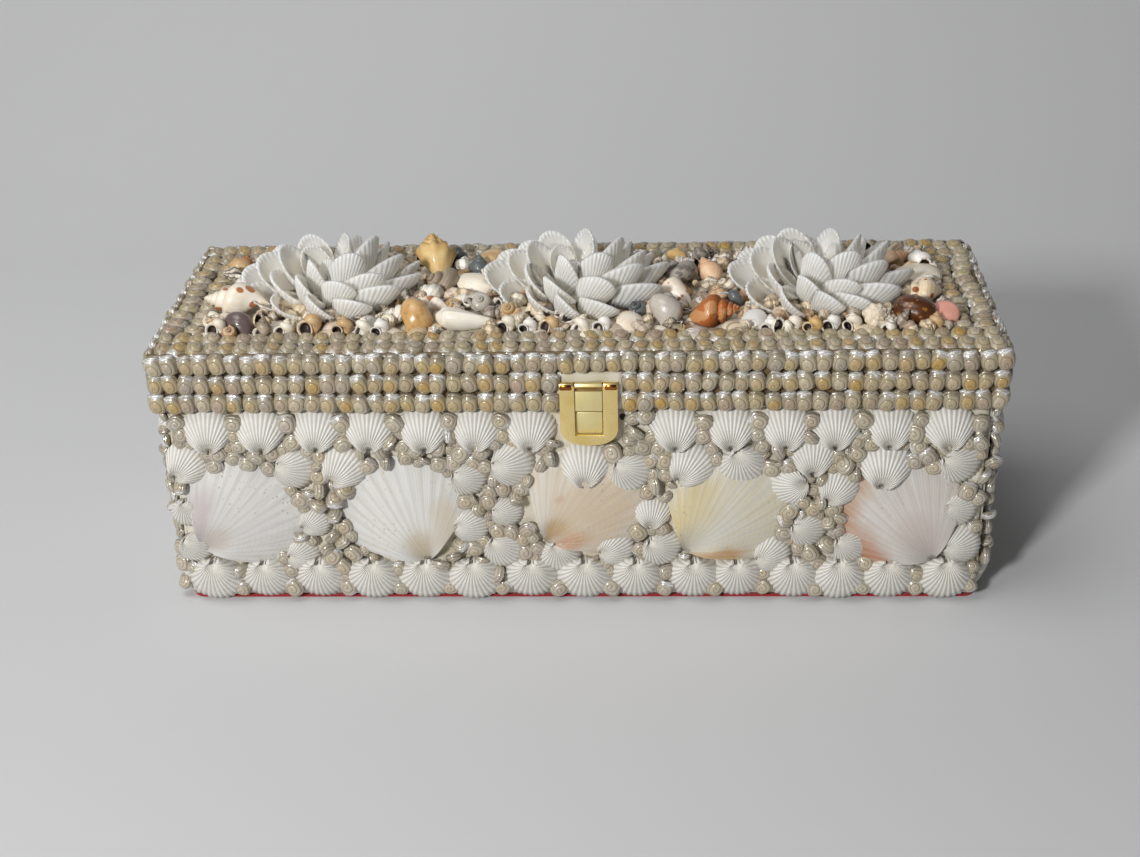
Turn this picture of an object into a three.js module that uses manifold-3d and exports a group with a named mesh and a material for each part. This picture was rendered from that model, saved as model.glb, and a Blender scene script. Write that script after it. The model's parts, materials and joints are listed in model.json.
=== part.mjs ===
// A keepsake box covered in sea shells: a hollow board box with a hinged lid and a swinging front latch.
// Millimetres, +Z up, the front looks along -Y, and the origin is the middle of the underside.
import * as THREE from "three";
import { mergeVertices } from "three/addons/utils/BufferGeometryUtils.js";
import Module from "manifold-3d";

const wasm = await Module();
wasm.setup();

// Driving sizes
const LENGTH = 361; // the lid's boards, left to right
const DEPTH = 118; // the lid's boards, front to back
const INSET = 3; // how far the box's boards stand back under the lid's on every side
const BOARD = 5; // thickness of every board
const GAP = 0.3; // room left between touching pieces
const CLEAR = 0.5; // room round the flowers and large shells of the lid
const FELT = 1.2; // red cover under the box
const FELT_EDGE = 2; // how far the red cover reaches past the box's boards
const BASE_TOP = 97; // rim of the box
const LID_BOTTOM = 97.5; // rim of the lid
const LID_TOP = 121.5; // flat of the lid board
const LINING = 1; // inner lining
const BED = 1.5; // plaster that the shells are set in
const SINK = 0.6; // how far a shell sinks into its bed

// Derived places
const HALF_LENGTH = LENGTH / 2;
const HALF_DEPTH = DEPTH / 2;
const BOX_LENGTH = LENGTH - 2 * INSET;
const BOX_DEPTH = DEPTH - 2 * INSET;
const BASE_BOTTOM = FELT + GAP;
const SEAM = (BASE_TOP + LID_BOTTOM) / 2;
const TAU = Math.PI * 2;

// Rows of button shells round the lid
const BUTTON_PITCH = 7.4; // along the front
const PLAIN_PITCH = 11.8; // along the sides and back
const BUTTON_ROW = 9.2;
const BUTTON_RISE = 2.4; // crown of a button over its own edge
const BUTTON_EDGE = 1.8; // edge of a button over the board
const LID_ROWS = 3;
const BORDER_ROWS = 2;
const BORDER = BORDER_ROWS * BUTTON_ROW;

// Front latch; room is what the shells leave free on each side of it
const LATCH = {
  x: 6.2, width: 25, top: 112, bottom: 81.3, window: 12.2, pinY: -62.2, pinZ: 110, room: 0.8, thick: 1.6,
};

// Hinges on the back edge; slot is half the width of the room that each takes in the boards
const HINGE = {
  y: 66, barrel: 2, pin: 0.8, leaf: 0.8, knuckle: 6.4, slot: 11, play: 0.15, eye: 3.5,
  places: { left: -120, right: 120 },
};

// Ark shells: a row under the lid fans up, a row at the foot fans down; room is how much larger
// than each the hole for it is
const ARK = { width: 22, length: 17.5, rise: 5.6, upperRow: 88.2, lowerRow: 10.2, room: 1.09 };

// Ark shells set round the front scallops: middle x, middle height, way the fan opens in degrees, width
const FRONT_ARKS = [
  [-172.5, 71.5, 45, 20], [-175, 46, -85, 16], [-174, 27.5, -55, 17], [-124.5, 68, -25, 21],
  [-103, 70, 50, 21], [-118, 41.5, 25, 15], [-125, 23.5, 0, 17], [-47.5, 62.5, -35, 19],
  [-28, 70, -10, 22], [-47.5, 38.5, -10, 18], [-31.5, 45.5, -15, 16], [-34, 26, -60, 19],
  [-9, 23, -85, 19], [17, 27.5, 15, 19], [4, 70.5, 88, 22], [24, 66, -45, 20],
  [33.5, 46, 80, 17], [37.5, 26, -50, 20], [50.5, 70.5, 50, 22], [72.5, 69, -75, 22],
  [103, 74.5, 90, 20], [93, 58.5, -155, 20], [115, 58.5, 50, 19], [102.5, 36, -30, 19],
  [87, 24, 15, 19], [120.5, 26.5, -50, 17], [134.5, 70, 82, 24], [167, 69.5, -30, 20],
  [168.5, 47, -20, 17], [170.5, 29, 5, 19],
];

// Scallops: hinge end x and height, way the fan opens in degrees
const SCALLOP = { across: 54, rise: 5.6, ribs: 7, plainRibs: 5, rim: 1.1 };
const FRONT_SCALLOPS = [
  [-171, 28, 40], [-67.5, 21, 112], [-15, 31, 46], [47, 26, 48], [158.5, 21, 124],
];
const BACK_SCALLOPS = [-140, -70, 0, 70, 140].map((x, i) => [x, 21, 90 + (i - 2) * 7]);
const SIDE_SCALLOPS = [[0, 21, 90]];

// Flowers of ark shells on the lid: ring by ring, petals, distance out, tilt up in degrees, petal length
const FLOWER_X = { left: -112, middle: -1, right: 108 };
const FLOWER_TWIST = -34;
const PETAL_RINGS = [
  { petals: 8, out: 12.5, up: 26, length: 28, lift: 3 },
  { petals: 6, out: 7.5, up: 44, length: 27, lift: 4 },
  { petals: 4, out: 3, up: 64, length: 23, lift: 5 },
];

// Large single shells on the lid: x, y, length, width, way the tip points in degrees, colour
const LARGE_SHELLS = {
  spotted_whelk_shell: [-152, -17, 32, 18, 170, 0xe8dccb],
  purple_moon_shell: [-147.8, -34.5, 13, 12, 90, 0x5b4a50],
  yellow_whelk_shell: [-63, 29, 27, 16, 60, 0xd9bf86],
  striped_turban_shell: [-63, 9, 17, 15, 200, 0x8d8478],
  cream_cockle_shell: [-47, 7, 19, 17, 150, 0xe6dccb],
  orange_moon_shell: [-70.5, -31, 19, 17, 20, 0xcf9a57],
  white_olive_shell: [-48, -34, 27, 10, 175, 0xe9e2d8],
  grey_moon_shell: [39.5, -29.5, 18, 17, 60, 0xb7afa6],
  rust_turban_shell: [60, -28.5, 24, 17, -8, 0xb4632c],
  spotted_cone_shell: [46, -6, 19, 15, 130, 0xead9c4],
  mottled_turban_shell: [46, 14.5, 19, 17, 160, 0x80776f],
  peach_whelk_shell: [60, 19.5, 21, 14, 105, 0xdcb996],
  white_disc_shell: [131.5, -34, 15, 14, -20, 0xe9e5dd],
  brown_cowrie_shell: [147.5, -30, 19, 16.5, 160, 0x5a3418],
  tiled_whelk_shell: [154, -9, 22, 15, 190, 0xcfa877],
  cream_clam_shell: [154, 13, 22, 20, 40, 0xe8ddca],
};

// Small shells in rows along the front and back of the panel: first x, last x, y, count
const SMALL_RUNS = [
  [-138, -82, -37, 6], [-31, 14, -37, 4], [80, 119, -37, 4],
  [-155, -85, 37, 5], [-40, 45, 37, 5], [80, 155, 37, 5],
];
const SMALL = { length: 11, width: 8.5 };

const materials = {
  board: new THREE.MeshStandardMaterial({ color: 0xe4ddd0, roughness: 0.85 }),
  felt: new THREE.MeshStandardMaterial({ color: 0x9c1c22, roughness: 0.95 }),
  plaster: new THREE.MeshStandardMaterial({ color: 0xe6dfd0, roughness: 0.8 }),
  button: new THREE.MeshStandardMaterial({ color: 0xb9aa8a, roughness: 0.3 }),
  ark: new THREE.MeshStandardMaterial({ color: 0xf0ede6, roughness: 0.6 }),
  scallop: new THREE.MeshStandardMaterial({ color: 0xeed9c4, roughness: 0.5 }),
  gold: new THREE.MeshStandardMaterial({ color: 0xd9b648, roughness: 0.25, metalness: 1 }),
  brass: new THREE.MeshStandardMaterial({ color: 0xb08d3e, roughness: 0.35, metalness: 1 }),
};

const radians = (degrees) => (degrees * Math.PI) / 180;

// A closed geometry as a solid for booleans
function solidOf(geometry) {
  const bare = geometry.clone();
  bare.deleteAttribute("normal");
  bare.deleteAttribute("uv");
  const merged = mergeVertices(bare, 1e-4);
  return new wasm.Manifold(
    new wasm.Mesh({
      numProp: 3,
      vertProperties: new Float32Array(merged.attributes.position.array),
      triVerts: new Uint32Array(merged.index.array),
    }),
  );
}

// A solid back as a geometry
function geometryOf(solid) {
  const { numProp, numVert, vertProperties, triVerts } = solid.getMesh();
  const position = new Float32Array(numVert * 3);
  for (let i = 0; i < numVert; i++) {
    position.set(vertProperties.subarray(i * numProp, i * numProp + 3), i * 3);
  }
  const geometry = new THREE.BufferGeometry();
  geometry.setAttribute("position", new THREE.BufferAttribute(position, 3));
  geometry.setIndex(new THREE.BufferAttribute(triVerts, 1));
  const flat = geometry.toNonIndexed();
  flat.computeVertexNormals();
  return flat;
}

function meshOf(name, solid, material) {
  const mesh = new THREE.Mesh(geometryOf(solid), material);
  mesh.name = name;
  return mesh;
}

// The biggest body of a solid that a cut may have parted
function largest(solid) {
  return solid.decompose().reduce((best, body) => (body.volume() > best.volume() ? body : best));
}

const joined = (solids) => solids.reduce((whole, piece) => whole.add(piece));
const cutBy = (solid, others) => others.reduce((left, other) => left.subtract(other), solid);

// A box between two corners
function block([x0, y0, z0], [x1, y1, z1]) {
  const geometry = new THREE.BoxGeometry(x1 - x0, y1 - y0, z1 - z0);
  geometry.translate((x0 + x1) / 2, (y0 + y1) / 2, (z0 + z1) / 2);
  return solidOf(geometry);
}

// A round bar along X
function bar(x0, x1, y, z, radius, sides = 8) {
  const geometry = new THREE.CylinderGeometry(radius, radius, x1 - x0, sides);
  geometry.rotateZ(Math.PI / 2);
  geometry.translate((x0 + x1) / 2, y, z);
  return solidOf(geometry);
}

// A closed geometry from vertices and triangles
function closed(vertices, triangles) {
  const geometry = new THREE.BufferGeometry();
  geometry.setAttribute("position", new THREE.Float32BufferAttribute(vertices.flat(), 3));
  geometry.setIndex(triangles.flat());
  return geometry;
}

// A hollow tray of boards, open at its top
function tray(length, depth, bottom, top, floor, wall) {
  const outer = block([-length / 2, -depth / 2, bottom], [length / 2, depth / 2, top]);
  const hollow = block(
    [-length / 2 + wall, -depth / 2 + wall, bottom + floor],
    [length / 2 - wall, depth / 2 - wall, top + 1],
  );
  return outer.subtract(hollow);
}

// The same tray turned over about a height, so that it opens downwards
function trayOver(length, depth, bottom, top, floor, wall) {
  const outer = block([-length / 2, -depth / 2, bottom], [length / 2, depth / 2, top]);
  const hollow = block(
    [-length / 2 + wall, -depth / 2 + wall, bottom - 1],
    [length / 2 - wall, depth / 2 - wall, top - floor],
  );
  return outer.subtract(hollow);
}

// Room in the boards and beds for both leaves of each hinge
function hingeSlots() {
  const inner = BOX_DEPTH / 2 - BOARD - 0.1;
  const tall = 1.3;
  return Object.values(HINGE.places).map((x) =>
    block([x - HINGE.slot, inner, SEAM - tall], [x + HINGE.slot, HALF_DEPTH + 12, SEAM + tall]),
  );
}

// Red cover under the box, with rounded corners
function feltCover() {
  const [x, y, round] = [BOX_LENGTH / 2 + FELT_EDGE, BOX_DEPTH / 2 + FELT_EDGE, 6];
  const shape = new THREE.Shape();
  shape.moveTo(-x + round, -y);
  shape.lineTo(x - round, -y);
  shape.absarc(x - round, -y + round, round, -Math.PI / 2, 0);
  shape.lineTo(x, y - round);
  shape.absarc(x - round, y - round, round, 0, Math.PI / 2);
  shape.lineTo(-x + round, y);
  shape.absarc(-x + round, y - round, round, Math.PI / 2, Math.PI);
  shape.lineTo(-x, -y + round);
  shape.absarc(-x + round, -y + round, round, Math.PI, Math.PI * 1.5);
  const settings = { depth: FELT, bevelEnabled: false, curveSegments: 3 };
  return solidOf(new THREE.ExtrudeGeometry(shape, settings));
}

// A sheet of button shells in X and Y round the origin: every cell of a grid rises to its own crown, up +Z
function buttonSheet(length, height, columns, rows) {
  const [stepX, stepY] = [length / columns, height / rows];
  const vertices = [];
  const triangles = [];
  const corner = (i, j) => j * (columns + 1) + i;
  for (let j = 0; j <= rows; j++) {
    for (let i = 0; i <= columns; i++) {
      vertices.push([i * stepX - length / 2, j * stepY - height / 2, BUTTON_EDGE]);
    }
  }
  for (let j = 0; j < rows; j++) {
    for (let i = 0; i < columns; i++) {
      const rim = [corner(i, j), corner(i + 1, j), corner(i + 1, j + 1), corner(i, j + 1)];
      const [x, y] = [(i + 0.5) * stepX - length / 2, (j + 0.5) * stepY - height / 2];
      const crown = vertices.push([x, y, BUTTON_EDGE + BUTTON_RISE]) - 1;
      rim.forEach((at, k) => triangles.push([at, rim[(k + 1) % 4], crown]));
    }
  }
  const foot = vertices.length;
  for (const [u, v] of [[-1, -1], [1, -1], [1, 1], [-1, 1]]) {
    vertices.push([(u * length) / 2, (v * height) / 2, 0]);
  }
  const sides = [
    Array.from({ length: columns + 1 }, (_, i) => corner(i, 0)),
    Array.from({ length: rows + 1 }, (_, j) => corner(columns, j)),
    Array.from({ length: columns + 1 }, (_, i) => corner(columns - i, rows)),
    Array.from({ length: rows + 1 }, (_, j) => corner(0, rows - j)),
  ];
  sides.forEach((edge, k) => {
    const [start, end] = [foot + k, foot + ((k + 1) % 4)];
    for (let i = 0; i + 1 < edge.length; i++) triangles.push([start, edge[i + 1], edge[i]]);
    triangles.push([start, end, edge[edge.length - 1]]);
  });
  triangles.push([foot, foot + 2, foot + 1], [foot, foot + 3, foot + 2]);
  return solidOf(closed(vertices, triangles));
}

// An ark shell lying with its hollow side down: its hinge end at -Y, its fan at +Y, a short ridge on its back
function arkValve(width, grow = 1) {
  const around = 7;
  const length = (width * ARK.length) / ARK.width;
  const rise = (width * ARK.rise) / ARK.width;
  const vertices = Array.from({ length: around }, (_, i) => {
    const angle = (i / around) * TAU - Math.PI / 2;
    return [(Math.cos(angle) * width) / 2, (Math.sin(angle) * length) / 2, -SINK];
  });
  vertices.push([0, -length * 0.3, rise * 0.9], [0, length * 0.06, rise]);
  const [hinge, crown] = [around, around + 1];
  const triangles = [];
  for (let i = 0; i < around; i++) {
    const next = (i + 1) % around;
    const top = i === 0 || i === around - 1 ? hinge : crown;
    triangles.push([i, next, top]);
  }
  triangles.push([1, crown, hinge], [around - 1, hinge, crown]);
  for (let i = 1; i + 1 < around; i++) triangles.push([0, i + 1, i]);
  return solidOf(closed(vertices.map((point) => point.map((value) => value * grow)), triangles));
}

// A scallop lying hollow side down: its hinge end at the origin, its ribbed fan towards +Y
function scallopValve(across, rise, ribs) {
  const radius = across / 2;
  const spread = radians(152);
  const steps = ribs * 2;
  const stations = [0.5, 1];
  const vertices = [[0, 0, rise * 0.35]];
  const triangles = [];
  // From the hinge end, a ray meets the round outline at this distance
  const reach = (angle) => 2 * radius * Math.max(0.12, Math.cos(angle)) * (0.94 + 0.06 * Math.cos(angle * 2));
  for (const share of stations) {
    for (let i = 0; i <= steps; i++) {
      const angle = (i / steps - 0.5) * spread;
      const rib = i % 2 ? 0.7 : -0.35;
      const dome = share < 1 ? rise : SCALLOP.rim;
      const out = reach(angle) * share;
      const fall = share < 1 ? 0.45 + 0.55 * Math.cos(angle) : 1;
      vertices.push([Math.sin(angle) * out, Math.cos(angle) * out, dome * fall + rib * share]);
    }
  }
  const at = (ring, i) => 1 + ring * (steps + 1) + i;
  for (let i = 0; i < steps; i++) {
    triangles.push([0, at(0, i + 1), at(0, i)]);
    triangles.push([at(0, i), at(0, i + 1), at(1, i + 1)], [at(0, i), at(1, i + 1), at(1, i)]);
  }
  const foot = vertices.length;
  vertices.push([0, 0, 0]);
  for (let i = 0; i <= steps; i++) {
    const [x, y] = vertices[at(1, i)];
    vertices.push([x, y, 0]);
  }
  for (let i = 0; i < steps; i++) {
    triangles.push([at(1, i), at(1, i + 1), foot + 2 + i], [at(1, i), foot + 2 + i, foot + 1 + i]);
    triangles.push([foot, foot + 1 + i, foot + 2 + i]);
  }
  triangles.push([0, at(0, 0), at(1, 0)], [0, at(1, 0), foot + 1], [0, foot + 1, foot]);
  const end = foot + 1 + steps;
  triangles.push([0, at(1, steps), at(0, steps)], [0, end, at(1, steps)], [0, foot, end]);
  return solidOf(closed(vertices, triangles));
}

// Puts a shell made in X and Y at a place on a face, its fan opening the given way
function setOnFace(solid, x, y, z, degrees) {
  return solid.rotate([0, 0, degrees - 90]).translate([x, y, z]);
}

// One face of the box: a bed with its ark shells in it, and the scallops as pieces of their own
function shellFace(name, length, arks, scallops, notches, ribs = SCALLOP.plainRibs) {
  const bedBottom = BASE_BOTTOM + 0.6;
  const bedTop = BASE_TOP - 0.5;
  const placed = arks.map(([x, y, way, width]) => setOnFace(arkValve(width), x, y, BED, way));
  const room = arks.map(([x, y, way, width]) => setOnFace(arkValve(width, ARK.room), x, y, BED, way));
  const bed = block([-length / 2, bedBottom, 0], [length / 2, bedTop, BED]);
  const face = new THREE.Group();
  const limits = block([-length / 2 - 4, BASE_BOTTOM, 0], [length / 2 + 4, bedTop, 40]);
  const shellwork = cutBy(joined([bed, ...placed]), notches).intersect(limits);
  face.add(meshOf(`${name}_shellwork`, largest(shellwork), materials.ark));
  scallops.forEach(([x, y, way], i) => {
    const whole = setOnFace(scallopValve(SCALLOP.across, SCALLOP.rise, ribs), x, y, BED + GAP, way);
    face.add(meshOf(`${name}_scallop_${i + 1}`, largest(cutBy(whole, room)), materials.scallop));
  });
  return face;
}

// Turns a face's group so that its outside looks the given way: 0 is the front, 90 the right side
function turned(face, degrees, distance) {
  face.rotation.x = Math.PI / 2;
  face.position.y = -distance - GAP;
  const turn = new THREE.Group();
  turn.rotation.z = radians(degrees);
  turn.add(face);
  return turn;
}

// Ark shells that repeat: the row under the lid, the row at the foot and pillars between scallops
function arkRows(xs, upper) {
  return [
    ...upper.map((x) => [x, ARK.upperRow, 90, ARK.width]),
    ...xs.map((x) => [x, ARK.lowerRow, -90, ARK.width]),
  ];
}
const spaced = (first, last, count) =>
  Array.from({ length: count }, (_, i) => first + ((last - first) * i) / (count - 1));
const arkPillar = (x) => [33, 60].map((y, i) => [x, y, 150 * i - 60, 19]);

// A box that a face leaves bare, in the face's own X, height and outward Z
const bare = (x0, x1, y0, y1) => block([x0, y0, -1], [x1, y1, 30]);

// Left and right of what the shells leave free round the latch
const latchSides = () => [-1, 1].map((hand) => LATCH.x + hand * (LATCH.width / 2 + LATCH.room));

const frontFace = () =>
  shellFace(
    "front",
    BOX_LENGTH,
    [
      ...arkRows(spaced(-166, 164, 15), [...spaced(-161, -20, 7), ...spaced(43, 161, 6)]),
      ...FRONT_ARKS,
    ],
    FRONT_SCALLOPS,
    [bare(...latchSides(), LATCH.bottom - LATCH.room, BASE_TOP)],
    SCALLOP.ribs,
  );

function backFace() {
  const hinges = Object.values(HINGE.places);
  const row = spaced(-163, 163, 15);
  const upper = row.filter((x) => hinges.every((hinge) => Math.abs(x - hinge) > 18));
  const pillars = [-105, 105].flatMap(arkPillar);
  const slots = hinges.map((x) => bare(x - HINGE.slot, x + HINGE.slot, BASE_TOP - 2.4, BASE_TOP));
  const arks = [...arkRows(row, upper), ...pillars];
  return shellFace("back", BOX_LENGTH, arks, BACK_SCALLOPS, slots);
}

function sideFace(name) {
  const row = spaced(-45, 45, 5);
  const arks = [...arkRows(row, row), [-42, 48, 120, 19], [42, 48, 60, 19]];
  return shellFace(name, BOX_DEPTH, arks, SIDE_SCALLOPS, []);
}

// Button rows on one upright face of the lid
function lidRows(name, length, degrees, distance, pitch, notches = []) {
  const height = LID_ROWS * BUTTON_ROW;
  const columns = Math.round(length / pitch);
  const sheet = buttonSheet(length, height, columns, LID_ROWS);
  const raised = sheet.translate([0, LID_BOTTOM + 0.4 + height / 2, 0]);
  const face = new THREE.Group();
  face.add(meshOf(`lid_${name}_buttons`, cutBy(raised, notches), materials.button));
  return turned(face, degrees, distance);
}

// Button rows on the flat of the lid, along one edge
function borderRows(name, x, y, length, height, columns, rows) {
  const sheet = buttonSheet(length, height, columns, rows).translate([x, y, LID_TOP + GAP]);
  return meshOf(`lid_top_${name}_buttons`, sheet, materials.button);
}

// A petal: an ark shell as a thin cup, hinge end at the origin, hollow side up, fan towards +Y.
// Grown by some millimetres it is filled, as the room that the petal needs.
function petal(length, grow = 0) {
  const [width, deep, wall] = [length * 0.72 + grow, length * 0.27 + grow, 1.4];
  const sides = [[0, 0], [0.36, 0.2], [0.5, 0.66], [0, 1], [-0.5, 0.66], [-0.36, 0.2]];
  const rim = sides.map(([across, along]) => [across * width, along * (length + grow) - grow / 2, 0]);
  const back = [0, length * 0.4, -deep];
  const hollow = [0, length * 0.45, grow ? grow + 1 : wall - deep];
  const triangles = rim.flatMap((_, i) => {
    const next = (i + 1) % rim.length;
    return [[i, next, rim.length + 1], [next, i, rim.length]];
  });
  return solidOf(closed([...rim, back, hollow], triangles));
}

// A flower of petals round a low mound, each petal twisted the same way as in a pinwheel
const MOUND = { top: 6, foot: 15, height: 9 };
function flower(x, grow = 0) {
  const mound = new THREE.CylinderGeometry(MOUND.top + grow, MOUND.foot + grow, MOUND.height + grow, 6);
  mound.rotateX(Math.PI / 2);
  const pieces = [solidOf(mound).translate([0, 0, MOUND.height / 2])];
  PETAL_RINGS.forEach(({ petals, out, up, length, lift }, ring) => {
    for (let i = 0; i < petals; i++) {
      const around = (i / petals) * 360 + ring * 23;
      pieces.push(
        petal(length, grow)
          .rotate([0, FLOWER_TWIST, 0])
          .rotate([up, 0, 0])
          .translate([0, out, lift])
          .rotate([0, 0, around]),
      );
    }
  });
  const above = block([-60, -60, 0], [60, 60, 60]);
  return joined(pieces).intersect(above).translate([x, 0, LID_TOP + 2 * GAP + BED]);
}

// A coiled shell lying on its side, its tip along +X, from a few widths along its length
const COIL = [[0.86, -0.45], [0.95, 0.12]];
const SMALL_COIL = [[1, -0.1]];
function coil(length, width, grow = 0, widths = COIL, sides = 7) {
  const [half, radius] = [length / 2 + grow, width / 2 + grow];
  const profile = [[0, -1], ...widths, [0, 1]].map(([r, y]) => new THREE.Vector2(r * radius, y * half));
  const geometry = new THREE.LatheGeometry(profile, sides);
  geometry.rotateZ(-Math.PI / 2);
  return solidOf(geometry);
}

// The large single shells of the lid, each cut clear of the flowers and of those set before it
function largeShells(flowerRoom) {
  const floor = LID_TOP + GAP + BED + GAP;
  const taken = [...flowerRoom];
  const limits = block([-161, -40, floor], [161, 40, 160]);
  const shells = Object.entries(LARGE_SHELLS).map(([name, [x, y, length, width, way, color]]) => {
    const place = (solid) => solid.rotate([0, 0, way]).translate([x, y, floor + width * 0.45]);
    const shell = cutBy(place(coil(length, width)).intersect(limits), taken);
    taken.push(place(coil(length, width, CLEAR)));
    return meshOf(name, largest(shell), new THREE.MeshStandardMaterial({ color, roughness: 0.4 }));
  });
  return { shells, taken };
}

// The bed of the lid's panel with the small shells along its front edge set in it
function panelBed(taken) {
  const [x, y] = [HALF_LENGTH - BORDER - 0.4, HALF_DEPTH - BORDER - 0.4];
  const middle = LID_TOP + GAP + BED + SMALL.width * 0.35;
  const small = SMALL_RUNS.flatMap(([first, last, row, count]) =>
    spaced(first, last, count).map((at, i) => {
      const shell = coil(SMALL.length, SMALL.width, 0, SMALL_COIL, 5).rotate([0, 0, 40 + 65 * i]);
      return cutBy(shell.translate([at, row, middle]), taken);
    }),
  );
  const bed = block([-x, -y, LID_TOP + GAP], [x, y, LID_TOP + GAP + BED]);
  const limits = block([-x, -y, LID_TOP + GAP], [x, y, 150]);
  return largest(joined([bed, ...small]).intersect(limits));
}

// Latch: a plate on the lid, a catch on the box and a frame that swings up from the plate
function latchPlate() {
  const { x, width, top, pinY, pinZ } = LATCH;
  const back = -HALF_DEPTH - GAP;
  const inner = LATCH.window / 2 - 0.35;
  return joined([
    block([x - width / 2 + 0.4, back - 0.8, LID_BOTTOM + 0.5], [x + width / 2 - 0.4, back, top]),
    block([x - inner, pinY - 0.9, LID_BOTTOM + 0.5], [x + inner, back - 0.4, pinZ - 2.6]),
    bar(x - inner, x + inner, pinY, pinZ, 1.5),
    block([x - inner, pinY, pinZ - 0.6], [x + inner, back - 0.4, pinZ + 0.6]),
    bar(x - width / 2 + 0.5, x + width / 2 - 0.5, pinY, pinZ, 0.6, 8),
  ]);
}

function latchCatch() {
  const { x, bottom, pinY } = LATCH;
  const back = -BOX_DEPTH / 2 - GAP;
  const inner = LATCH.window / 2 - 0.35;
  return joined([
    block([x - 10, back - 3.2, bottom + 2.4], [x + 10, back, BASE_TOP - 0.3]),
    block([x - inner, pinY + 0.7, bottom + 5.2], [x + inner, back - 0.4, BASE_TOP - 0.3]),
  ]);
}

function latchFrame() {
  const { x, width, bottom, window, pinY, pinZ, thick } = LATCH;
  const [half, side] = [width / 2, window / 2];
  const shape = new THREE.Shape();
  const bend = 7.2; // rise of the rounded lower edge
  const sill = bottom + 4.9; // foot of the window
  shape.moveTo(-half, pinZ);
  shape.lineTo(-half, bottom + bend);
  shape.quadraticCurveTo(-half + 1.5, bottom, 0, bottom);
  shape.quadraticCurveTo(half - 1.5, bottom, half, bottom + bend);
  shape.lineTo(half, pinZ);
  shape.lineTo(side, pinZ);
  shape.lineTo(side, sill);
  shape.lineTo(-side, sill);
  shape.lineTo(-side, pinZ);
  const plate = new THREE.ExtrudeGeometry(shape, { depth: thick, bevelEnabled: false, curveSegments: 5 });
  plate.rotateX(Math.PI / 2);
  plate.translate(x, pinY + 2 - thick, 0);
  const knuckles = [-1, 1].map((hand) => {
    const [a, b] = [x + hand * (side + 0.2), x + hand * half];
    return bar(Math.min(a, b), Math.max(a, b), pinY, pinZ, 1.6);
  });
  const bore = bar(x - half - 1, x + half + 1, pinY, pinZ, 0.95, 10);
  const between = block([x - side, pinY - 4, sill], [x + side, pinY + 4, pinZ + 4]);
  return joined([solidOf(plate), ...knuckles]).subtract(bore).subtract(between);
}

// One leaf of a hinge: a plate in the seam and its knuckles round the pin
function hingeLeaf(x, onLid) {
  const { y, barrel, pin, leaf, knuckle, play, eye } = HINGE;
  const half = knuckle * 1.5;
  const open = HALF_DEPTH + eye;
  const inner = (onLid ? HALF_DEPTH : BOX_DEPTH / 2) - BOARD + 2 * GAP;
  const low = onLid ? SEAM + 0.2 : SEAM - 0.2 - leaf;
  const plate = block([x - half, inner, low], [x + half, y, low + leaf]);
  const [from, to] = [x - knuckle / 2 + play, x + knuckle / 2 - play];
  if (onLid) {
    const clearEnds = [
      block([x - half - 1, open, low - 1], [from, y + 4, low + 2]),
      block([to, open, low - 1], [x + half + 1, y + 4, low + 2]),
    ];
    const middle = bar(from, to, y, SEAM, barrel);
    return cutBy(plate, clearEnds).add(middle).subtract(bar(from - 1, to + 1, y, SEAM, pin + 0.35, 8));
  }
  const [before, after] = [from - 2 * play, to + 2 * play];
  const ends = [bar(x - half, before, y, SEAM, barrel), bar(after, x + half, y, SEAM, barrel)];
  const notch = block([before, open, low - 1], [after, y + 4, low + 2]);
  return joined([plate.subtract(notch), ...ends, bar(x - half, x + half, y, SEAM, pin, 6)]);
}

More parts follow.
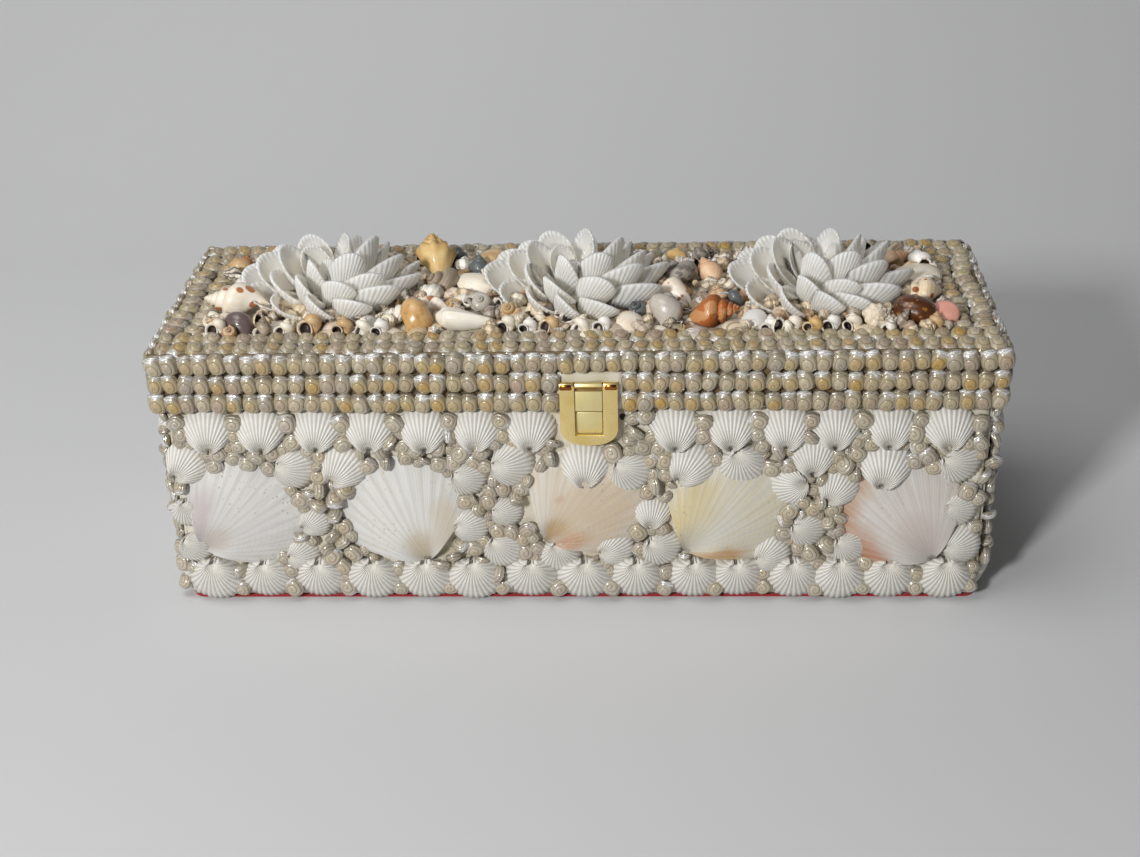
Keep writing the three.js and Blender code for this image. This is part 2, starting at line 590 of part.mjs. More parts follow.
function shellBox() {
  const box = new THREE.Group();
  const slots = hingeSlots();
  box.add(meshOf("felt_cover", feltCover(), materials.felt));
  const body = tray(BOX_LENGTH, BOX_DEPTH, BASE_BOTTOM, BASE_TOP, BOARD, BOARD);
  box.add(meshOf("box_boards", cutBy(body, slots), materials.board));
  const lid = trayOver(LENGTH, DEPTH, LID_BOTTOM, LID_TOP, BOARD, BOARD);
  box.add(meshOf("lid_boards", cutBy(lid, slots), materials.board));

  const walls = 2 * (BOARD + GAP);
  const boxLining = tray(
    BOX_LENGTH - walls, BOX_DEPTH - walls, BASE_BOTTOM + BOARD + GAP, BASE_TOP - 0.6, LINING, LINING,
  );
  box.add(meshOf("box_lining", boxLining, materials.felt));
  const lidLining = trayOver(
    LENGTH - walls, DEPTH - walls, LID_BOTTOM + 0.6, LID_TOP - BOARD - GAP, LINING, LINING,
  );
  box.add(meshOf("lid_lining", lidLining, materials.felt));

  box.add(turned(frontFace(), 0, BOX_DEPTH / 2));
  box.add(turned(backFace(), 180, BOX_DEPTH / 2));
  box.add(turned(sideFace("right"), 90, BOX_LENGTH / 2));
  box.add(turned(sideFace("left"), -90, BOX_LENGTH / 2));

  const latchRoom = bare(...latchSides(), LID_BOTTOM, LATCH.top + 3);
  const hingeRoom = Object.values(HINGE.places).map((x) =>
    bare(x - HINGE.slot, x + HINGE.slot, LID_BOTTOM, LID_BOTTOM + 2),
  );
  const edge = 2 * (BUTTON_EDGE + BUTTON_RISE) - 1;
  box.add(lidRows("front", LENGTH + edge, 0, HALF_DEPTH, BUTTON_PITCH, [latchRoom]));
  box.add(lidRows("back", LENGTH + edge, 180, HALF_DEPTH, PLAIN_PITCH, hingeRoom));
  box.add(lidRows("right", DEPTH, 90, HALF_LENGTH, PLAIN_PITCH));
  box.add(lidRows("left", DEPTH, -90, HALF_LENGTH, PLAIN_PITCH));

  const [across, acrossBack] = [BUTTON_PITCH, PLAIN_PITCH].map((pitch) => Math.round(LENGTH / pitch));
  const down = Math.round((DEPTH - 2 * BORDER) / PLAIN_PITCH);
  const [midY, midX] = [HALF_DEPTH - BORDER / 2, HALF_LENGTH - BORDER / 2];
  const sideLength = DEPTH - 2 * BORDER - 0.6;
  box.add(borderRows("front", 0, -midY, LENGTH, BORDER, across, BORDER_ROWS));
  box.add(borderRows("back", 0, midY, LENGTH, BORDER, acrossBack, BORDER_ROWS));
  box.add(borderRows("left", -midX, 0, BORDER, sideLength, BORDER_ROWS, down));
  box.add(borderRows("right", midX, 0, BORDER, sideLength, BORDER_ROWS, down));

  for (const [name, x] of Object.entries(FLOWER_X)) {
    box.add(meshOf(`flower_${name}`, largest(flower(x)), materials.ark));
  }
  const { shells, taken } = largeShells(Object.values(FLOWER_X).map((x) => flower(x, CLEAR)));
  box.add(...shells);
  box.add(meshOf("panel_bed", panelBed(taken), materials.plaster));

  box.add(meshOf("latch_plate", latchPlate(), materials.gold));
  box.add(meshOf("latch_catch", latchCatch(), materials.gold));
  box.add(meshOf("latch_frame", latchFrame(), materials.gold));
  for (const [name, x] of Object.entries(HINGE.places)) {
    box.add(meshOf(`hinge_${name}_box_leaf`, hingeLeaf(x, false), materials.brass));
    box.add(meshOf(`hinge_${name}_lid_leaf`, hingeLeaf(x, true), materials.brass));
  }
  return box;
}

export default shellBox();
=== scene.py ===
"""A keepsake box covered in sea shells: finishes and fine shellwork on its frame of boards."""
import json
import math
import random

import bmesh
import bpy
import numpy as np
from bpy.props import FloatProperty, FloatVectorProperty, IntProperty, PointerProperty
from bpy.types import Operator, Panel, PropertyGroup
from mathutils import Euler, Matrix, Vector

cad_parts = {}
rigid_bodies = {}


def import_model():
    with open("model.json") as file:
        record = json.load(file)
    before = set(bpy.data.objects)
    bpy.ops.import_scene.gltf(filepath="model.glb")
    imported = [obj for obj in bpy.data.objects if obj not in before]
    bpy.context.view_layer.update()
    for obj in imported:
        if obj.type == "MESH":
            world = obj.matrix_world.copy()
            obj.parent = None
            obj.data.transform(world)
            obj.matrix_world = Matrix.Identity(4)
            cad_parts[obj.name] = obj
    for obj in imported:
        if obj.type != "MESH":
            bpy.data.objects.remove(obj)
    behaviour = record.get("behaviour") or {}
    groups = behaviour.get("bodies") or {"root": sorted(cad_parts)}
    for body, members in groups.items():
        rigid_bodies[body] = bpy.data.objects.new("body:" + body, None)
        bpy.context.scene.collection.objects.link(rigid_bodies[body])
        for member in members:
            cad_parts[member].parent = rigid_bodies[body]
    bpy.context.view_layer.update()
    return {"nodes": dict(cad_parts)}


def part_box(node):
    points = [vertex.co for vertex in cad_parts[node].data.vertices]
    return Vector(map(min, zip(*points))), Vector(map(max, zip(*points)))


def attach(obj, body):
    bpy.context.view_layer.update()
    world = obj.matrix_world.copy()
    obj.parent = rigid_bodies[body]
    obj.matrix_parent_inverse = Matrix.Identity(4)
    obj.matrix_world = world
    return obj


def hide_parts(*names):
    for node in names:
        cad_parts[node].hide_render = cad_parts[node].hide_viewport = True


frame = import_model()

bl_info = {
    "name": "Shell box",
    "version": (1, 0, 0),
    "blender": (4, 5, 0),
    "location": "3D View > Sidebar > Shell box",
    "description": "Makes a keepsake box covered in sea shells, round its frame of boards",
    "category": "Object",
}

MM = 0.001
TAU = math.tau

# The boards, from the frame
BOX_LOW, BOX_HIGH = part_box("box_boards")
LID_LOW, LID_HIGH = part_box("lid_boards")
PANEL_LOW, PANEL_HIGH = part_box("panel_bed")
GAP = 0.3 * MM
BED = 1.5 * MM
LID_FLOOR = LID_HIGH.z + 2 * GAP + BED

# Front layout, in millimetres: middle x, middle height, way the fan opens in degrees, width
FRONT_ARKS = [
    (-172.5, 71.5, 45, 20), (-175, 46, -85, 16), (-174, 27.5, -55, 17), (-124.5, 68, -25, 21),
    (-103, 70, 50, 21), (-118, 41.5, 25, 15), (-125, 23.5, 0, 17), (-47.5, 62.5, -35, 19),
    (-28, 70, -10, 22), (-47.5, 38.5, -10, 18), (-31.5, 45.5, -15, 16), (-34, 26, -60, 19),
    (-9, 23, -85, 19), (17, 27.5, 15, 19), (4, 70.5, 88, 22), (24, 66, -45, 20),
    (33.5, 46, 80, 17), (37.5, 26, -50, 20), (50.5, 70.5, 50, 22), (72.5, 69, -75, 22),
    (103, 74.5, 90, 20), (93, 58.5, -155, 20), (115, 58.5, 50, 19), (102.5, 36, -30, 19),
    (87, 24, 15, 19), (120.5, 26.5, -50, 17), (134.5, 70, 82, 24), (167, 69.5, -30, 20),
    (168.5, 47, -20, 17), (170.5, 29, 5, 19),
]
# Rows of ark shells under the lid and at the foot, in millimetres
FRONT_UPPER = [-161.1, -137.9, -114, -90.6, -66.2, -44, -19.9, 43.3, 67.4, 90.9, 112.4, 135.7, 161.2]
FRONT_LOWER = [
    -166.3, -143.3, -118.2, -93.5, -69.9, -47.8, -21.6, 2.7, 26.1, 51.6, 71, 96.1, 116.8, 138.5, 164.2,
]
UPPER_ROW = 88.2
LOWER_ROW = 11.4
# Scallops: hinge end x and height in millimetres, way the fan opens in degrees
FRONT_SCALLOPS = [(-171, 28, 40), (-67.5, 21, 112), (-15, 31, 46), (47, 26, 48), (158.5, 21, 124)]
FLOWER_X = {"left": -112, "middle": -1, "right": 108}
# How far the shells of a face sink into its plaster
SEAT = BED + 0.9 * MM
# Heights of the button shells between the ark shells of each row, in millimetres
BETWEEN_UPPER = 91.5
BETWEEN_LOWER = 6.6
# Ribs of a shell, and how far its fan opens to each side in degrees
ARK_RIBS = 20
ARK_SPREAD = 82
ARK_STRETCH = 1.07
SCALLOP_RIBS = 17
SCALLOP_SPREAD = 58
# How far a scallop reaches from its middle, and its middle from its hinge end, in millimetres
SCALLOP_REACH = 25.5
SCALLOP_MIDDLE = 26
# How far a loose button shell reaches, in millimetres, and the share of them that stand on edge
BUTTON_REACH = 3.1
ON_EDGE = 0.3
# How far red, green and blue light spread inside a shell, as shares
WARM_SPREAD = (1.0, 0.95, 0.88)
# Middle x and height of the nail hole beside the latch, in millimetres
NAIL_HOLE = (20.6, 92.6)


def colour(code):
    """A red, green, blue and alpha value from a hexadecimal colour."""
    parts = [int(code[i:i + 2], 16) / 255 for i in (0, 2, 4)]
    linear = [p / 12.92 if p <= 0.04045 else ((p + 0.055) / 1.055) ** 2.4 for p in parts]
    return (*linear, 1.0)


class Wire:
    """An output of a node, on which each Python operator adds a Math node."""

    def __init__(self, tree, socket):
        self.tree = tree
        self.socket = socket

    def maths(self, operation, *others):
        """A Math node that works on this value and others."""
        return self.tree.put("ShaderNodeMath", {"operation": operation}, [self, *others])

    def other(self, name):
        """Another output of the same node."""
        return Wire(self.tree, self.socket.node.outputs[name])

    def __add__(self, value):
        return self.maths("ADD", value)

    def __mul__(self, value):
        return self.maths("MULTIPLY", value)

    def __sub__(self, value):
        return self.maths("SUBTRACT", value)

    def __rsub__(self, value):
        return self.tree.put("ShaderNodeMath", {"operation": "SUBTRACT"}, [value, self])

    def __truediv__(self, value):
        return self.maths("DIVIDE", value)

    def __pow__(self, value):
        return self.maths("POWER", value)

    __radd__ = __add__
    __rmul__ = __mul__


class Tree:
    """A node tree to which put() adds nodes."""

    def __init__(self, tree):
        self.tree = tree
        tree.nodes.clear()

    def put(self, kind, settings=None, values=(), output=0):
        """A node of that kind with its settings made first, then the values or links of its inputs."""
        node = self.tree.nodes.new(kind)
        for key, value in (settings or {}).items():
            if key == "stops":
                self.set_stops(node.color_ramp.elements, value)
            else:
                setattr(node, key, value)
        pairs = values.items() if isinstance(values, dict) else enumerate(values)
        for key, value in pairs:
            if isinstance(value, Wire):
                self.tree.links.new(value.socket, node.inputs[key])
            else:
                node.inputs[key].default_value = value
        return Wire(self, node.outputs[output]) if node.outputs else None

    @staticmethod
    def set_stops(elements, stops):
        """Gives a colour ramp its stops."""
        while len(elements) > 1:
            elements.remove(elements[-1])
        elements[0].position, elements[0].color = stops[0]
        for place, shade in stops[1:]:
            elements.new(place).color = shade


class Finish(Tree):
    """A material while it is made."""

    def __init__(self, name):
        self.material = bpy.data.materials.new(name)
        self.material.use_nodes = True
        super().__init__(self.material.node_tree)

    def mix(self, share, first, second, blend="MIX"):
        """One colour over another."""
        settings = {"data_type": "RGBA", "blend_type": blend, "clamp_factor": True}
        return self.put("ShaderNodeMix", settings, {0: share, 6: first, 7: second}, output=2)

    def ramp(self, value, stops):
        """A colour that follows a value."""
        return self.put("ShaderNodeValToRGB", {"stops": stops}, [value])

    def steps(self, value, low, high):
        """0 below low, 1 above high and smooth between."""
        settings = {"interpolation_type": "SMOOTHSTEP"}
        return self.put("ShaderNodeMapRange", settings, [value, low, high])

    def place(self):
        """Object coordinates."""
        return self.put("ShaderNodeTexCoord", output="Object")

    def map_place(self):
        """The piece's own texture coordinates."""
        return self.put("ShaderNodeTexCoord", output="UV")

    def attribute(self, name):
        """A value kept on the piece's points."""
        return self.put("ShaderNodeAttribute", {"attribute_name": name}, output="Fac")

    def noise(self, where, scale, detail=3.0, rough=0.5):
        """Cloudy values from 0 to 1."""
        values = {"Vector": where, "Scale": scale, "Detail": detail, "Roughness": rough}
        return self.put("ShaderNodeTexNoise", None, values)

    def cells(self, where, scale):
        """Distance to the nearest of many scattered points."""
        return self.put("ShaderNodeTexVoronoi", None, {"Vector": where, "Scale": scale})

    def split(self, vector):
        """The three parts of a vector."""
        x = self.put("ShaderNodeSeparateXYZ", None, [vector])
        return x, x.other("Y"), x.other("Z")

    def bump(self, height, depth, strength=1.0):
        """Relief from a height of 0 to 1, that many metres deep."""
        return self.put("ShaderNodeBump", None, {"Height": height, "Distance": depth, "Strength": strength})

    def surface(self, **values):
        """The shader itself; a value's name has _ for a space."""
        sockets = {name.replace("_", " "): value for name, value in values.items()}
        shader = self.put("ShaderNodeBsdfPrincipled", None, sockets)
        self.put("ShaderNodeOutputMaterial", None, [shader])
        return self.material


class Form:
    """Points, faces and texture coordinates of a mesh while it is made."""

    def __init__(self):
        self.points = []
        self.faces = []
        self.coords = []

    def grid(self, points, coords=None, wrap=False, flip=False):
        """Adds rows of points joined by four-sided faces. A wrapped row closes on itself."""
        rows, columns = len(points), len(points[0])
        start = len(self.points)
        self.points.extend(tuple(p) for row in points for p in row)
        across = columns if wrap else columns - 1
        for i in range(rows - 1):
            for j in range(across):
                k = (j + 1) % columns
                corners = [(i, j), (i, k), (i + 1, k), (i + 1, j)]
                marks = [(i, j), (i, j + 1), (i + 1, j + 1), (i + 1, j)]
                if flip:
                    corners.reverse()
                    marks.reverse()
                self.faces.append([start + a * columns + b for a, b in corners])
                self.coords.append([self.mark(coords, mark, rows, across) for mark in marks])
        return start

    @staticmethod
    def mark(coords, at, rows, across):
        """The texture coordinates of a grid's corner."""
        if coords is None:
            return at[1] / across, at[0] / (rows - 1)
        return tuple(coords[at[0]][at[1] % len(coords[0])])

    def cap(self, start, count, point, flip=False, mark=(0, 0), marks=None):
        """Closes a ring of points with a fan to one point."""
        tip = len(self.points)
        self.points.append(tuple(point))
        for j in range(count):
            k = (j + 1) % count
            face = [start + j, start + k, tip]
            ends = [marks[j], marks[k], mark] if marks else [mark] * 3
            if flip:
                face.reverse()
                ends.reverse()
            self.faces.append(face)
            self.coords.append(ends)

    def mesh(self, name):
        """The mesh, with smooth faces."""
        made = bpy.data.meshes.new(name)
        made.from_pydata(self.points, [], self.faces)
        layer = made.uv_layers.new(name="UVMap")
        layer.data.foreach_set("uv", [value for face in self.coords for pair in face for value in pair])
        made.polygons.foreach_set("use_smooth", [True] * len(made.polygons))
        return made


def show(name, mesh, material=None):
    """A new object of the scene."""
    piece = bpy.data.objects.new(name, mesh)
    bpy.context.scene.collection.objects.link(piece)
    if material:
        mesh.materials.clear()
        mesh.materials.append(material)
    return piece


def settle(piece):
    """Turns a piece's modifiers into plain mesh."""
    bpy.context.view_layer.update()
    plain = bpy.data.meshes.new_from_object(piece.evaluated_get(bpy.context.evaluated_depsgraph_get()))
    piece.modifiers.clear()
    piece.data = plain
    return piece


def dress(piece, body, slot, *nodes):
    """Gives a finished piece its body and hides the solids that it stands for; its slot is not used."""
    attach(piece, body)
    if nodes:
        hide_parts(*nodes)
    return piece


def sizes():
    """The sizes and colours that a user may change."""
    return bpy.context.scene.shell_box


def face_matrix(turn, distance):
    """Places what lies in X and Y, with its outside up Z, on an upright face of the box."""
    out = Matrix.Rotation(math.radians(90), 4, "X")
    return Matrix.Rotation(math.radians(turn), 4, "Z") @ Matrix.Translation((0, -distance, 0)) @ out


def close_below(mesh, depth):
    """Runs a sheet's edge down to a depth and closes its underside."""
    work = bmesh.new()
    work.from_mesh(mesh)
    rim = [edge for edge in work.edges if edge.is_boundary]
    made = bmesh.ops.extrude_edge_only(work, edges=rim)
    for item in made["geom"]:
        if isinstance(item, bmesh.types.BMVert):
            item.co.z = depth
    bmesh.ops.holes_fill(work, edges=[edge for edge in work.edges if edge.is_boundary])
    bmesh.ops.recalc_face_normals(work, faces=work.faces)
    work.to_mesh(mesh)
    work.free()
    mesh.polygons.foreach_set("use_smooth", [True] * len(mesh.polygons))
    return mesh


def valve(width, length, rise, ribs, ridge, per_rib, rings, spread, outline, beak):
    """Half a ribbed shell as an open sheet: hinge end at the origin, fan towards +Y, back up."""
    columns = ribs * per_rib + 1
    across = np.linspace(-1, 1, columns)
    angle = across * math.radians(spread)
    reach = outline(across, angle)
    reach = reach / np.max(reach)
    wave = np.cos(across * ribs * math.pi)
    widest = np.max(reach * np.sin(angle)) * 2
    rows = []
    marks = []
    for ring in range(1, rings + 1):
        share = (ring / rings) ** 0.85
        dome = (1 - share ** 2.3) * (beak + (1 - beak) * math.sin(min(share / 0.4, 1) * math.pi / 2))
        lift = ridge * wave * share ** 0.7
        out = reach * share * (1 + 0.6 * lift / length * share ** 4)
        x = np.sin(angle) * out * width / widest
        y = np.cos(angle) * out * length
        z = rise * dome + lift * (1 - 0.4 * share)
        rows.append(np.stack([x, y, z], axis=1))
        marks.append([(0.5 + 0.5 * a, share) for a in across])
    form = Form()
    start = form.grid(rows, marks, flip=True)
    tip = len(form.points)
    form.points.append((0, 0, rise * beak))
    for j in range(columns - 1):
        form.faces.append([start + j + 1, start + j, tip])
        form.coords.append([marks[0][j + 1], marks[0][j], (0.5, 0)])
    return form


def ark_outline(across, angle):
    """How far an ark shell's oval edge lies from its hinge end, for each way across."""
    half_wide, half_long = 0.64, 0.5
    bend = (np.cos(angle) / half_long) ** 2 + (np.sin(angle) / half_wide) ** 2
    return 2 * np.cos(angle) / half_long / bend + 0.05 * across ** 2


def scallop_outline(across, angle):
    """How far a scallop's round edge lies from its hinge end, for each way across."""
    middle, round_edge = 0.47, 0.53
    return middle * np.cos(angle) + np.sqrt(round_edge ** 2 - (middle * np.sin(angle)) ** 2)


def button_form(across, rise, stretch=1.22, lower=0.2):
    """A button shell round Z: a low spiral dome with a full shoulder, a little longer than wide.

    Its tip lies towards -Y, by that share of its width."""
    profile = [(0.3, 0.965), (0.6, 0.88), (0.86, 0.7), (1, 0.4), (0.96, 0.1), (0.86, 0)]
    sides = 12
    run = [0]
    for (r0, z0), (r1, z1) in zip([(0, 1)] + profile, profile):
        run.append(run[-1] + math.hypot(r1 - r0, (z1 - z0) * 2 * rise / across))
    rows = []
    marks = []
    for ring, (r, z) in enumerate(profile):
        turn = [TAU * (j + 0.5) / sides for j in range(sides)]
        square = [(abs(math.cos(a)) ** 3.4 + abs(math.sin(a)) ** 3.4) ** (-r / 3.4) for a in turn]
        rows.append([
            (
                r * q * math.cos(a) * across / 2,
                (r * q * math.sin(a) * stretch / 2 - lower * (1 - r)) * across,
                z * rise,
            )
            for a, q in zip(turn, square)
        ])
        far = run[ring + 1] / run[-1] / 2
        marks.append([(0.5 + far * math.cos(a), 0.5 + far * math.sin(a)) for a in turn])
    form = Form()
    start = form.grid(rows, marks, wrap=True, flip=True)
    form.cap(start, sides, (0, -lower * across, rise), marks=marks[0], mark=(0.5, 0.5))
    last = start + sides * (len(profile) - 1)
    form.faces.append([last + j for j in reversed(range(sides))])
    form.coords.append([(0.5, 1)] * sides)
    return form


def coil_form(
    turns, growth, out, drop, wide, tall, tail, taper, ratio, ribs=0, ridge=0.0, sides=16, steps=20
):
    """A coiled shell one metre long with its tip up Z, round the middle of its length.

    growth is how much each turn outgrows the one before; out and drop are how far the middle of the
    mouth lies from the axis and below the tip; wide, tall and tail are how far the mouth reaches
    outwards, up and down; taper draws the tail in, and ratio is the width for that length. The steps
    of a turn are longer towards the tip."""
    rows = []
    marks = []
    count = round(turns * steps)
    places = [(share, 1.0, share) for share in ((i / count) ** 0.75 for i in range(count + 1))]
    inward = 0.35 / (turns * TAU)
    places += [(1.0, 0.84, 1.06), (1 - inward, 0.7, 1.2), (1 - 3 * inward, 0.5, 1.3)]
    for share, full, mark in places:
        angle = turns * TAU * share
        size = growth ** (turns * (share - 1))
        ring = []
        for j in range(sides):
            side, level = math.cos(TAU * j / sides), math.sin(TAU * j / sides)
            shoulder = max(0.0, 0.35 + level) * max(0.0, side + 0.4)
            swell = 1 + ridge * math.cos(angle * ribs) * shoulder
            across = (out + wide * side * full) * swell
            if level < 0:
                across *= 1 - taper * (-level) ** 1.5
            height = -drop + (tall if level > 0 else tail) * level * full * swell
            ring.append((across * size * math.cos(angle), across * size * math.sin(angle), height * size))
        rows.append(ring)
        marks.append([(mark, j / sides) for j in range(sides + 1)])
    points = np.array(rows)
    low, high = points.min(axis=(0, 1)), points.max(axis=(0, 1))
    across = max(high[0] - low[0], high[1] - low[1])
    scale = np.array([ratio / across, ratio / across, 1 / (high[2] - low[2])])
    points = (points - (low + high) / 2) * scale
    form = Form()
    start = form.grid(points, marks, wrap=True)
    form.cap(start, sides, points[0].mean(axis=0), flip=True)
    form.cap(start + sides * (len(rows) - 1), sides, points[-1].mean(axis=0), mark=(1.3, 0.5))
    return form


def egg_form(ratio, flat, sides=20, rings=14):
    """A smooth shell like an egg one metre long, its tip up Z."""
    rows = []
    for i in range(1, rings):
        along = math.pi * i / rings
        rows.append([
            (
                flat / 2 * math.sin(along) ** 0.8 * math.cos(TAU * j / sides),
                ratio / 2 * math.sin(along) ** 0.8 * math.sin(TAU * j / sides),
                -math.cos(along) / 2,
            )
            for j in range(sides)
        ])
    marks = [[(i / rings, j / sides) for j in range(sides + 1)] for i in range(1, rings)]
    form = Form()
    start = form.grid(rows, marks, wrap=True)
    form.cap(start, sides, (0, 0, -0.5), flip=True)
    form.cap(start + sides * (rings - 2), sides, (0, 0, 0.5), mark=(1, 0.5))
    return form


class Layout:
    """Places for shells: where each sits, how it is turned, its size, its kind and its tint."""

    def __init__(self, seed):
        self.chance = random.Random(seed)
        self.rows = []

    def put(self, where, turn, size=1.0, pick=0):
        """One more place."""
        tint, shade = self.chance.random(), self.chance.random()
        self.rows.append((tuple(where), tuple(turn), size, pick, tint, shade))

    def mesh(self, name):
        """The places as loose points that carry the rest as attributes."""
        made = bpy.data.meshes.new(name)
        made.from_pydata([row[0] for row in self.rows], [], [])
        turn = made.attributes.new("turn", "FLOAT_VECTOR", "POINT")
        turn.data.foreach_set("vector", [value for row in self.rows for value in row[1]])
        for column, (label, kind) in enumerate(
            [("size", "FLOAT"), ("pick", "INT"), ("tint", "FLOAT"), ("shade", "FLOAT")]
        ):
            values = made.attributes.new(label, kind, "POINT")
            values.data.foreach_set("value", [row[column + 2] for row in self.rows])
        return made


def new_group(name, sockets):
    """A Geometry Nodes group with named inputs and one geometry output."""
    group = bpy.data.node_groups.new(name, "GeometryNodeTree")
    for label, kind in sockets:
        group.interface.new_socket(label, in_out="INPUT", socket_type="NodeSocket" + kind)
    group.interface.new_socket("Geometry", in_out="OUTPUT", socket_type="NodeSocketGeometry")
    return group


def setting_group():
    """Sets a shell from a collection on every point of a layout."""
    found = bpy.data.node_groups.get("Set shells")
    if found:
        return found
    group = new_group("Set shells", [
        ("Geometry", "Geometry"), ("Shells", "Collection"), ("Scale", "Float"), ("Material", "Material"),
    ])
    tree = Tree(group)
    start = tree.put("NodeGroupInput")
    read = "GeometryNodeInputNamedAttribute"
    turn = tree.put(read, {"data_type": "FLOAT_VECTOR"}, {"Name": "turn"})
    size = tree.put(read, {"data_type": "FLOAT"}, {"Name": "size"})
    pick = tree.put(read, {"data_type": "INT"}, {"Name": "pick"})
    shells = tree.put("GeometryNodeCollectionInfo", None, {
        "Collection": start.other("Shells"), "Separate Children": True, "Reset Children": True,
    })
    instances = tree.put("GeometryNodeInstanceOnPoints", None, {
        "Points": start, "Instance": shells, "Pick Instance": True, "Instance Index": pick,
        "Rotation": tree.put("FunctionNodeEulerToRotation", None, [turn]),
        "Scale": size * start.other("Scale"),
    })
    plain = tree.put("GeometryNodeRealizeInstances", None, [instances])
    done = tree.put("GeometryNodeSetMaterial", None, {
        "Geometry": plain, "Material": start.other("Material"),
    })
    tree.put("NodeGroupOutput", None, [done])
    return group


def row_group():
    """Rows of one shell on a flat rectangle, each a little out of line, with a bare gap if one is asked."""
    found = bpy.data.node_groups.get("Shell rows")
    if found:
        return found
    group = new_group("Shell rows", [
        ("Geometry", "Geometry"), ("Shell", "Object"), ("Length", "Float"), ("Height", "Float"),
        ("Columns", "Int"), ("Rows", "Int"), ("Lean", "Float"), ("Sway", "Float"), ("Loose", "Float"),
        ("Gap From", "Float"), ("Gap To", "Float"), ("Gap Top", "Float"), ("Seed", "Int"),
        ("Turn", "Float"), ("Material", "Material"),
    ])
    tree = Tree(group)
    start = tree.put("NodeGroupInput")
    points = tree.put("GeometryNodeMeshGrid", None, {
        "Size X": start.other("Length"), "Size Y": start.other("Height"),
        "Vertices X": start.other("Columns"), "Vertices Y": start.other("Rows"),
    })
    where = tree.put("ShaderNodeSeparateXYZ", None, [tree.put("GeometryNodeInputPosition")])
    x, y = where, where.other("Y")
    inside = (
        x.maths("GREATER_THAN", start.other("Gap From"))
        * x.maths("LESS_THAN", start.other("Gap To"))
        * y.maths("LESS_THAN", start.other("Gap Top"))
    )
    kept = tree.put("GeometryNodeDeleteGeometry", None, [points, inside])

    def chance(low, high, seed, kind="FLOAT"):
        values = {"Min": low, "Max": high, "Seed": start.other("Seed") + seed}
        node = tree.put("FunctionNodeRandomValue", {"data_type": kind})
        sockets = node.socket.node
        usable = {s.name: s for s in sockets.inputs if s.enabled}
        for key, value in values.items():
            if isinstance(value, Wire):
                tree.tree.links.new(value.socket, usable[key])
            else:
                usable[key].default_value = value
        return Wire(tree, next(s for s in sockets.outputs if s.enabled))

    loose = start.other("Loose")
    shift = tree.put("ShaderNodeCombineXYZ", None, [
        chance(-1.0, 1.0, 1) * loose + tree.put("ShaderNodeMath", {"operation": "SINE"}, [y * 900]) * loose,
        chance(-1.0, 1.0, 2) * loose * 0.7,
        chance(-0.4, 0.4, 3) * loose,
    ])
    moved = tree.put("GeometryNodeSetPosition", None, {"Geometry": kept, "Offset": shift})
    lean = tree.put("ShaderNodeCombineXYZ", None, [
        start.other("Lean") + chance(-0.12, 0.12, 4),
        start.other("Sway") * (1 - (x / start.other("Length") + 0.5)) + chance(-0.14, 0.14, 5),
        0.0,
    ])
    spin = tree.put("ShaderNodeCombineXYZ", None, [0.0, 0.0, start.other("Turn") + chance(-0.4, 0.4, 6)])
    turn = tree.put("FunctionNodeRotateRotation", {"rotation_space": "LOCAL"}, [
        tree.put("FunctionNodeEulerToRotation", None, [lean]),
        tree.put("FunctionNodeEulerToRotation", None, [spin]),
    ])
    instances = tree.put("GeometryNodeInstanceOnPoints", None, {
        "Points": moved,
        "Instance": tree.put("GeometryNodeObjectInfo", None, [start.other("Shell")], output="Geometry"),
        "Rotation": turn,
        "Scale": chance(0.95, 1.06, 7),
    })
    for name, seed in (("tint", 8), ("shade", 9)):
        settings = {"data_type": "FLOAT", "domain": "INSTANCE"}
        values = {"Geometry": instances, "Name": name, "Value": chance(0.0, 1.0, seed)}
        instances = tree.put("GeometryNodeStoreNamedAttribute", settings, values)
    plain = tree.put("GeometryNodeRealizeInstances", None, [instances])
    done = tree.put("GeometryNodeSetMaterial", None, {
        "Geometry": plain, "Material": start.other("Material"),
    })
    tree.put("NodeGroupOutput", None, [done])
    return group


def grow(piece, group, values):
    """Runs a Geometry Nodes group on a piece with these inputs, and leaves plain mesh."""
    modifier = piece.modifiers.new(group.name, "NODES")
    modifier.node_group = group
    for socket in group.interface.items_tree:
        if socket.item_type == "SOCKET" and socket.name in values:
            modifier[socket.identifier] = values[socket.name]
    return settle(piece)


def set_shells(name, layout, templates, material, scale=1.0):
    """One piece made of shells set at a layout's places. The templates are used up."""
    bin_of_shells = bpy.data.collections.new(name + "_templates")
    bpy.context.scene.collection.children.link(bin_of_shells)
    for i, mesh in enumerate(templates):
        bin_of_shells.objects.link(bpy.data.objects.new(f"{i:02d}_{name}", mesh))
    piece = show(name, layout.mesh(name))
    grow(piece, setting_group(), {"Shells": bin_of_shells, "Scale": scale, "Material": material})
    for template in list(bin_of_shells.objects):
        bpy.data.objects.remove(template)
    bpy.data.collections.remove(bin_of_shells)
    return piece


def shell_rows(
    name, length, height, columns, rows, shell, material, lean=0.0, sway=0.0, gap=None, seed=1, turn=0.0
):
    """One piece of button shells in rows on a flat rectangle round the origin."""
    template = bpy.data.objects.new(name + "_template", shell)
    bpy.context.scene.collection.objects.link(template)
    start = bpy.data.meshes.new(name)
    piece = show(name, start)
    low, high, top = gap or (1.0, 1.0, -1.0)
    pitch = length / columns
    grow(piece, row_group(), {
        "Shell": template, "Length": length - pitch, "Height": height - height / rows,
        "Columns": columns, "Rows": rows, "Lean": lean, "Sway": sway, "Loose": pitch * 0.07,
        "Gap From": low, "Gap To": high, "Gap Top": top, "Seed": seed, "Turn": turn, "Material": material,
    })
    bpy.data.objects.remove(template)
    return piece


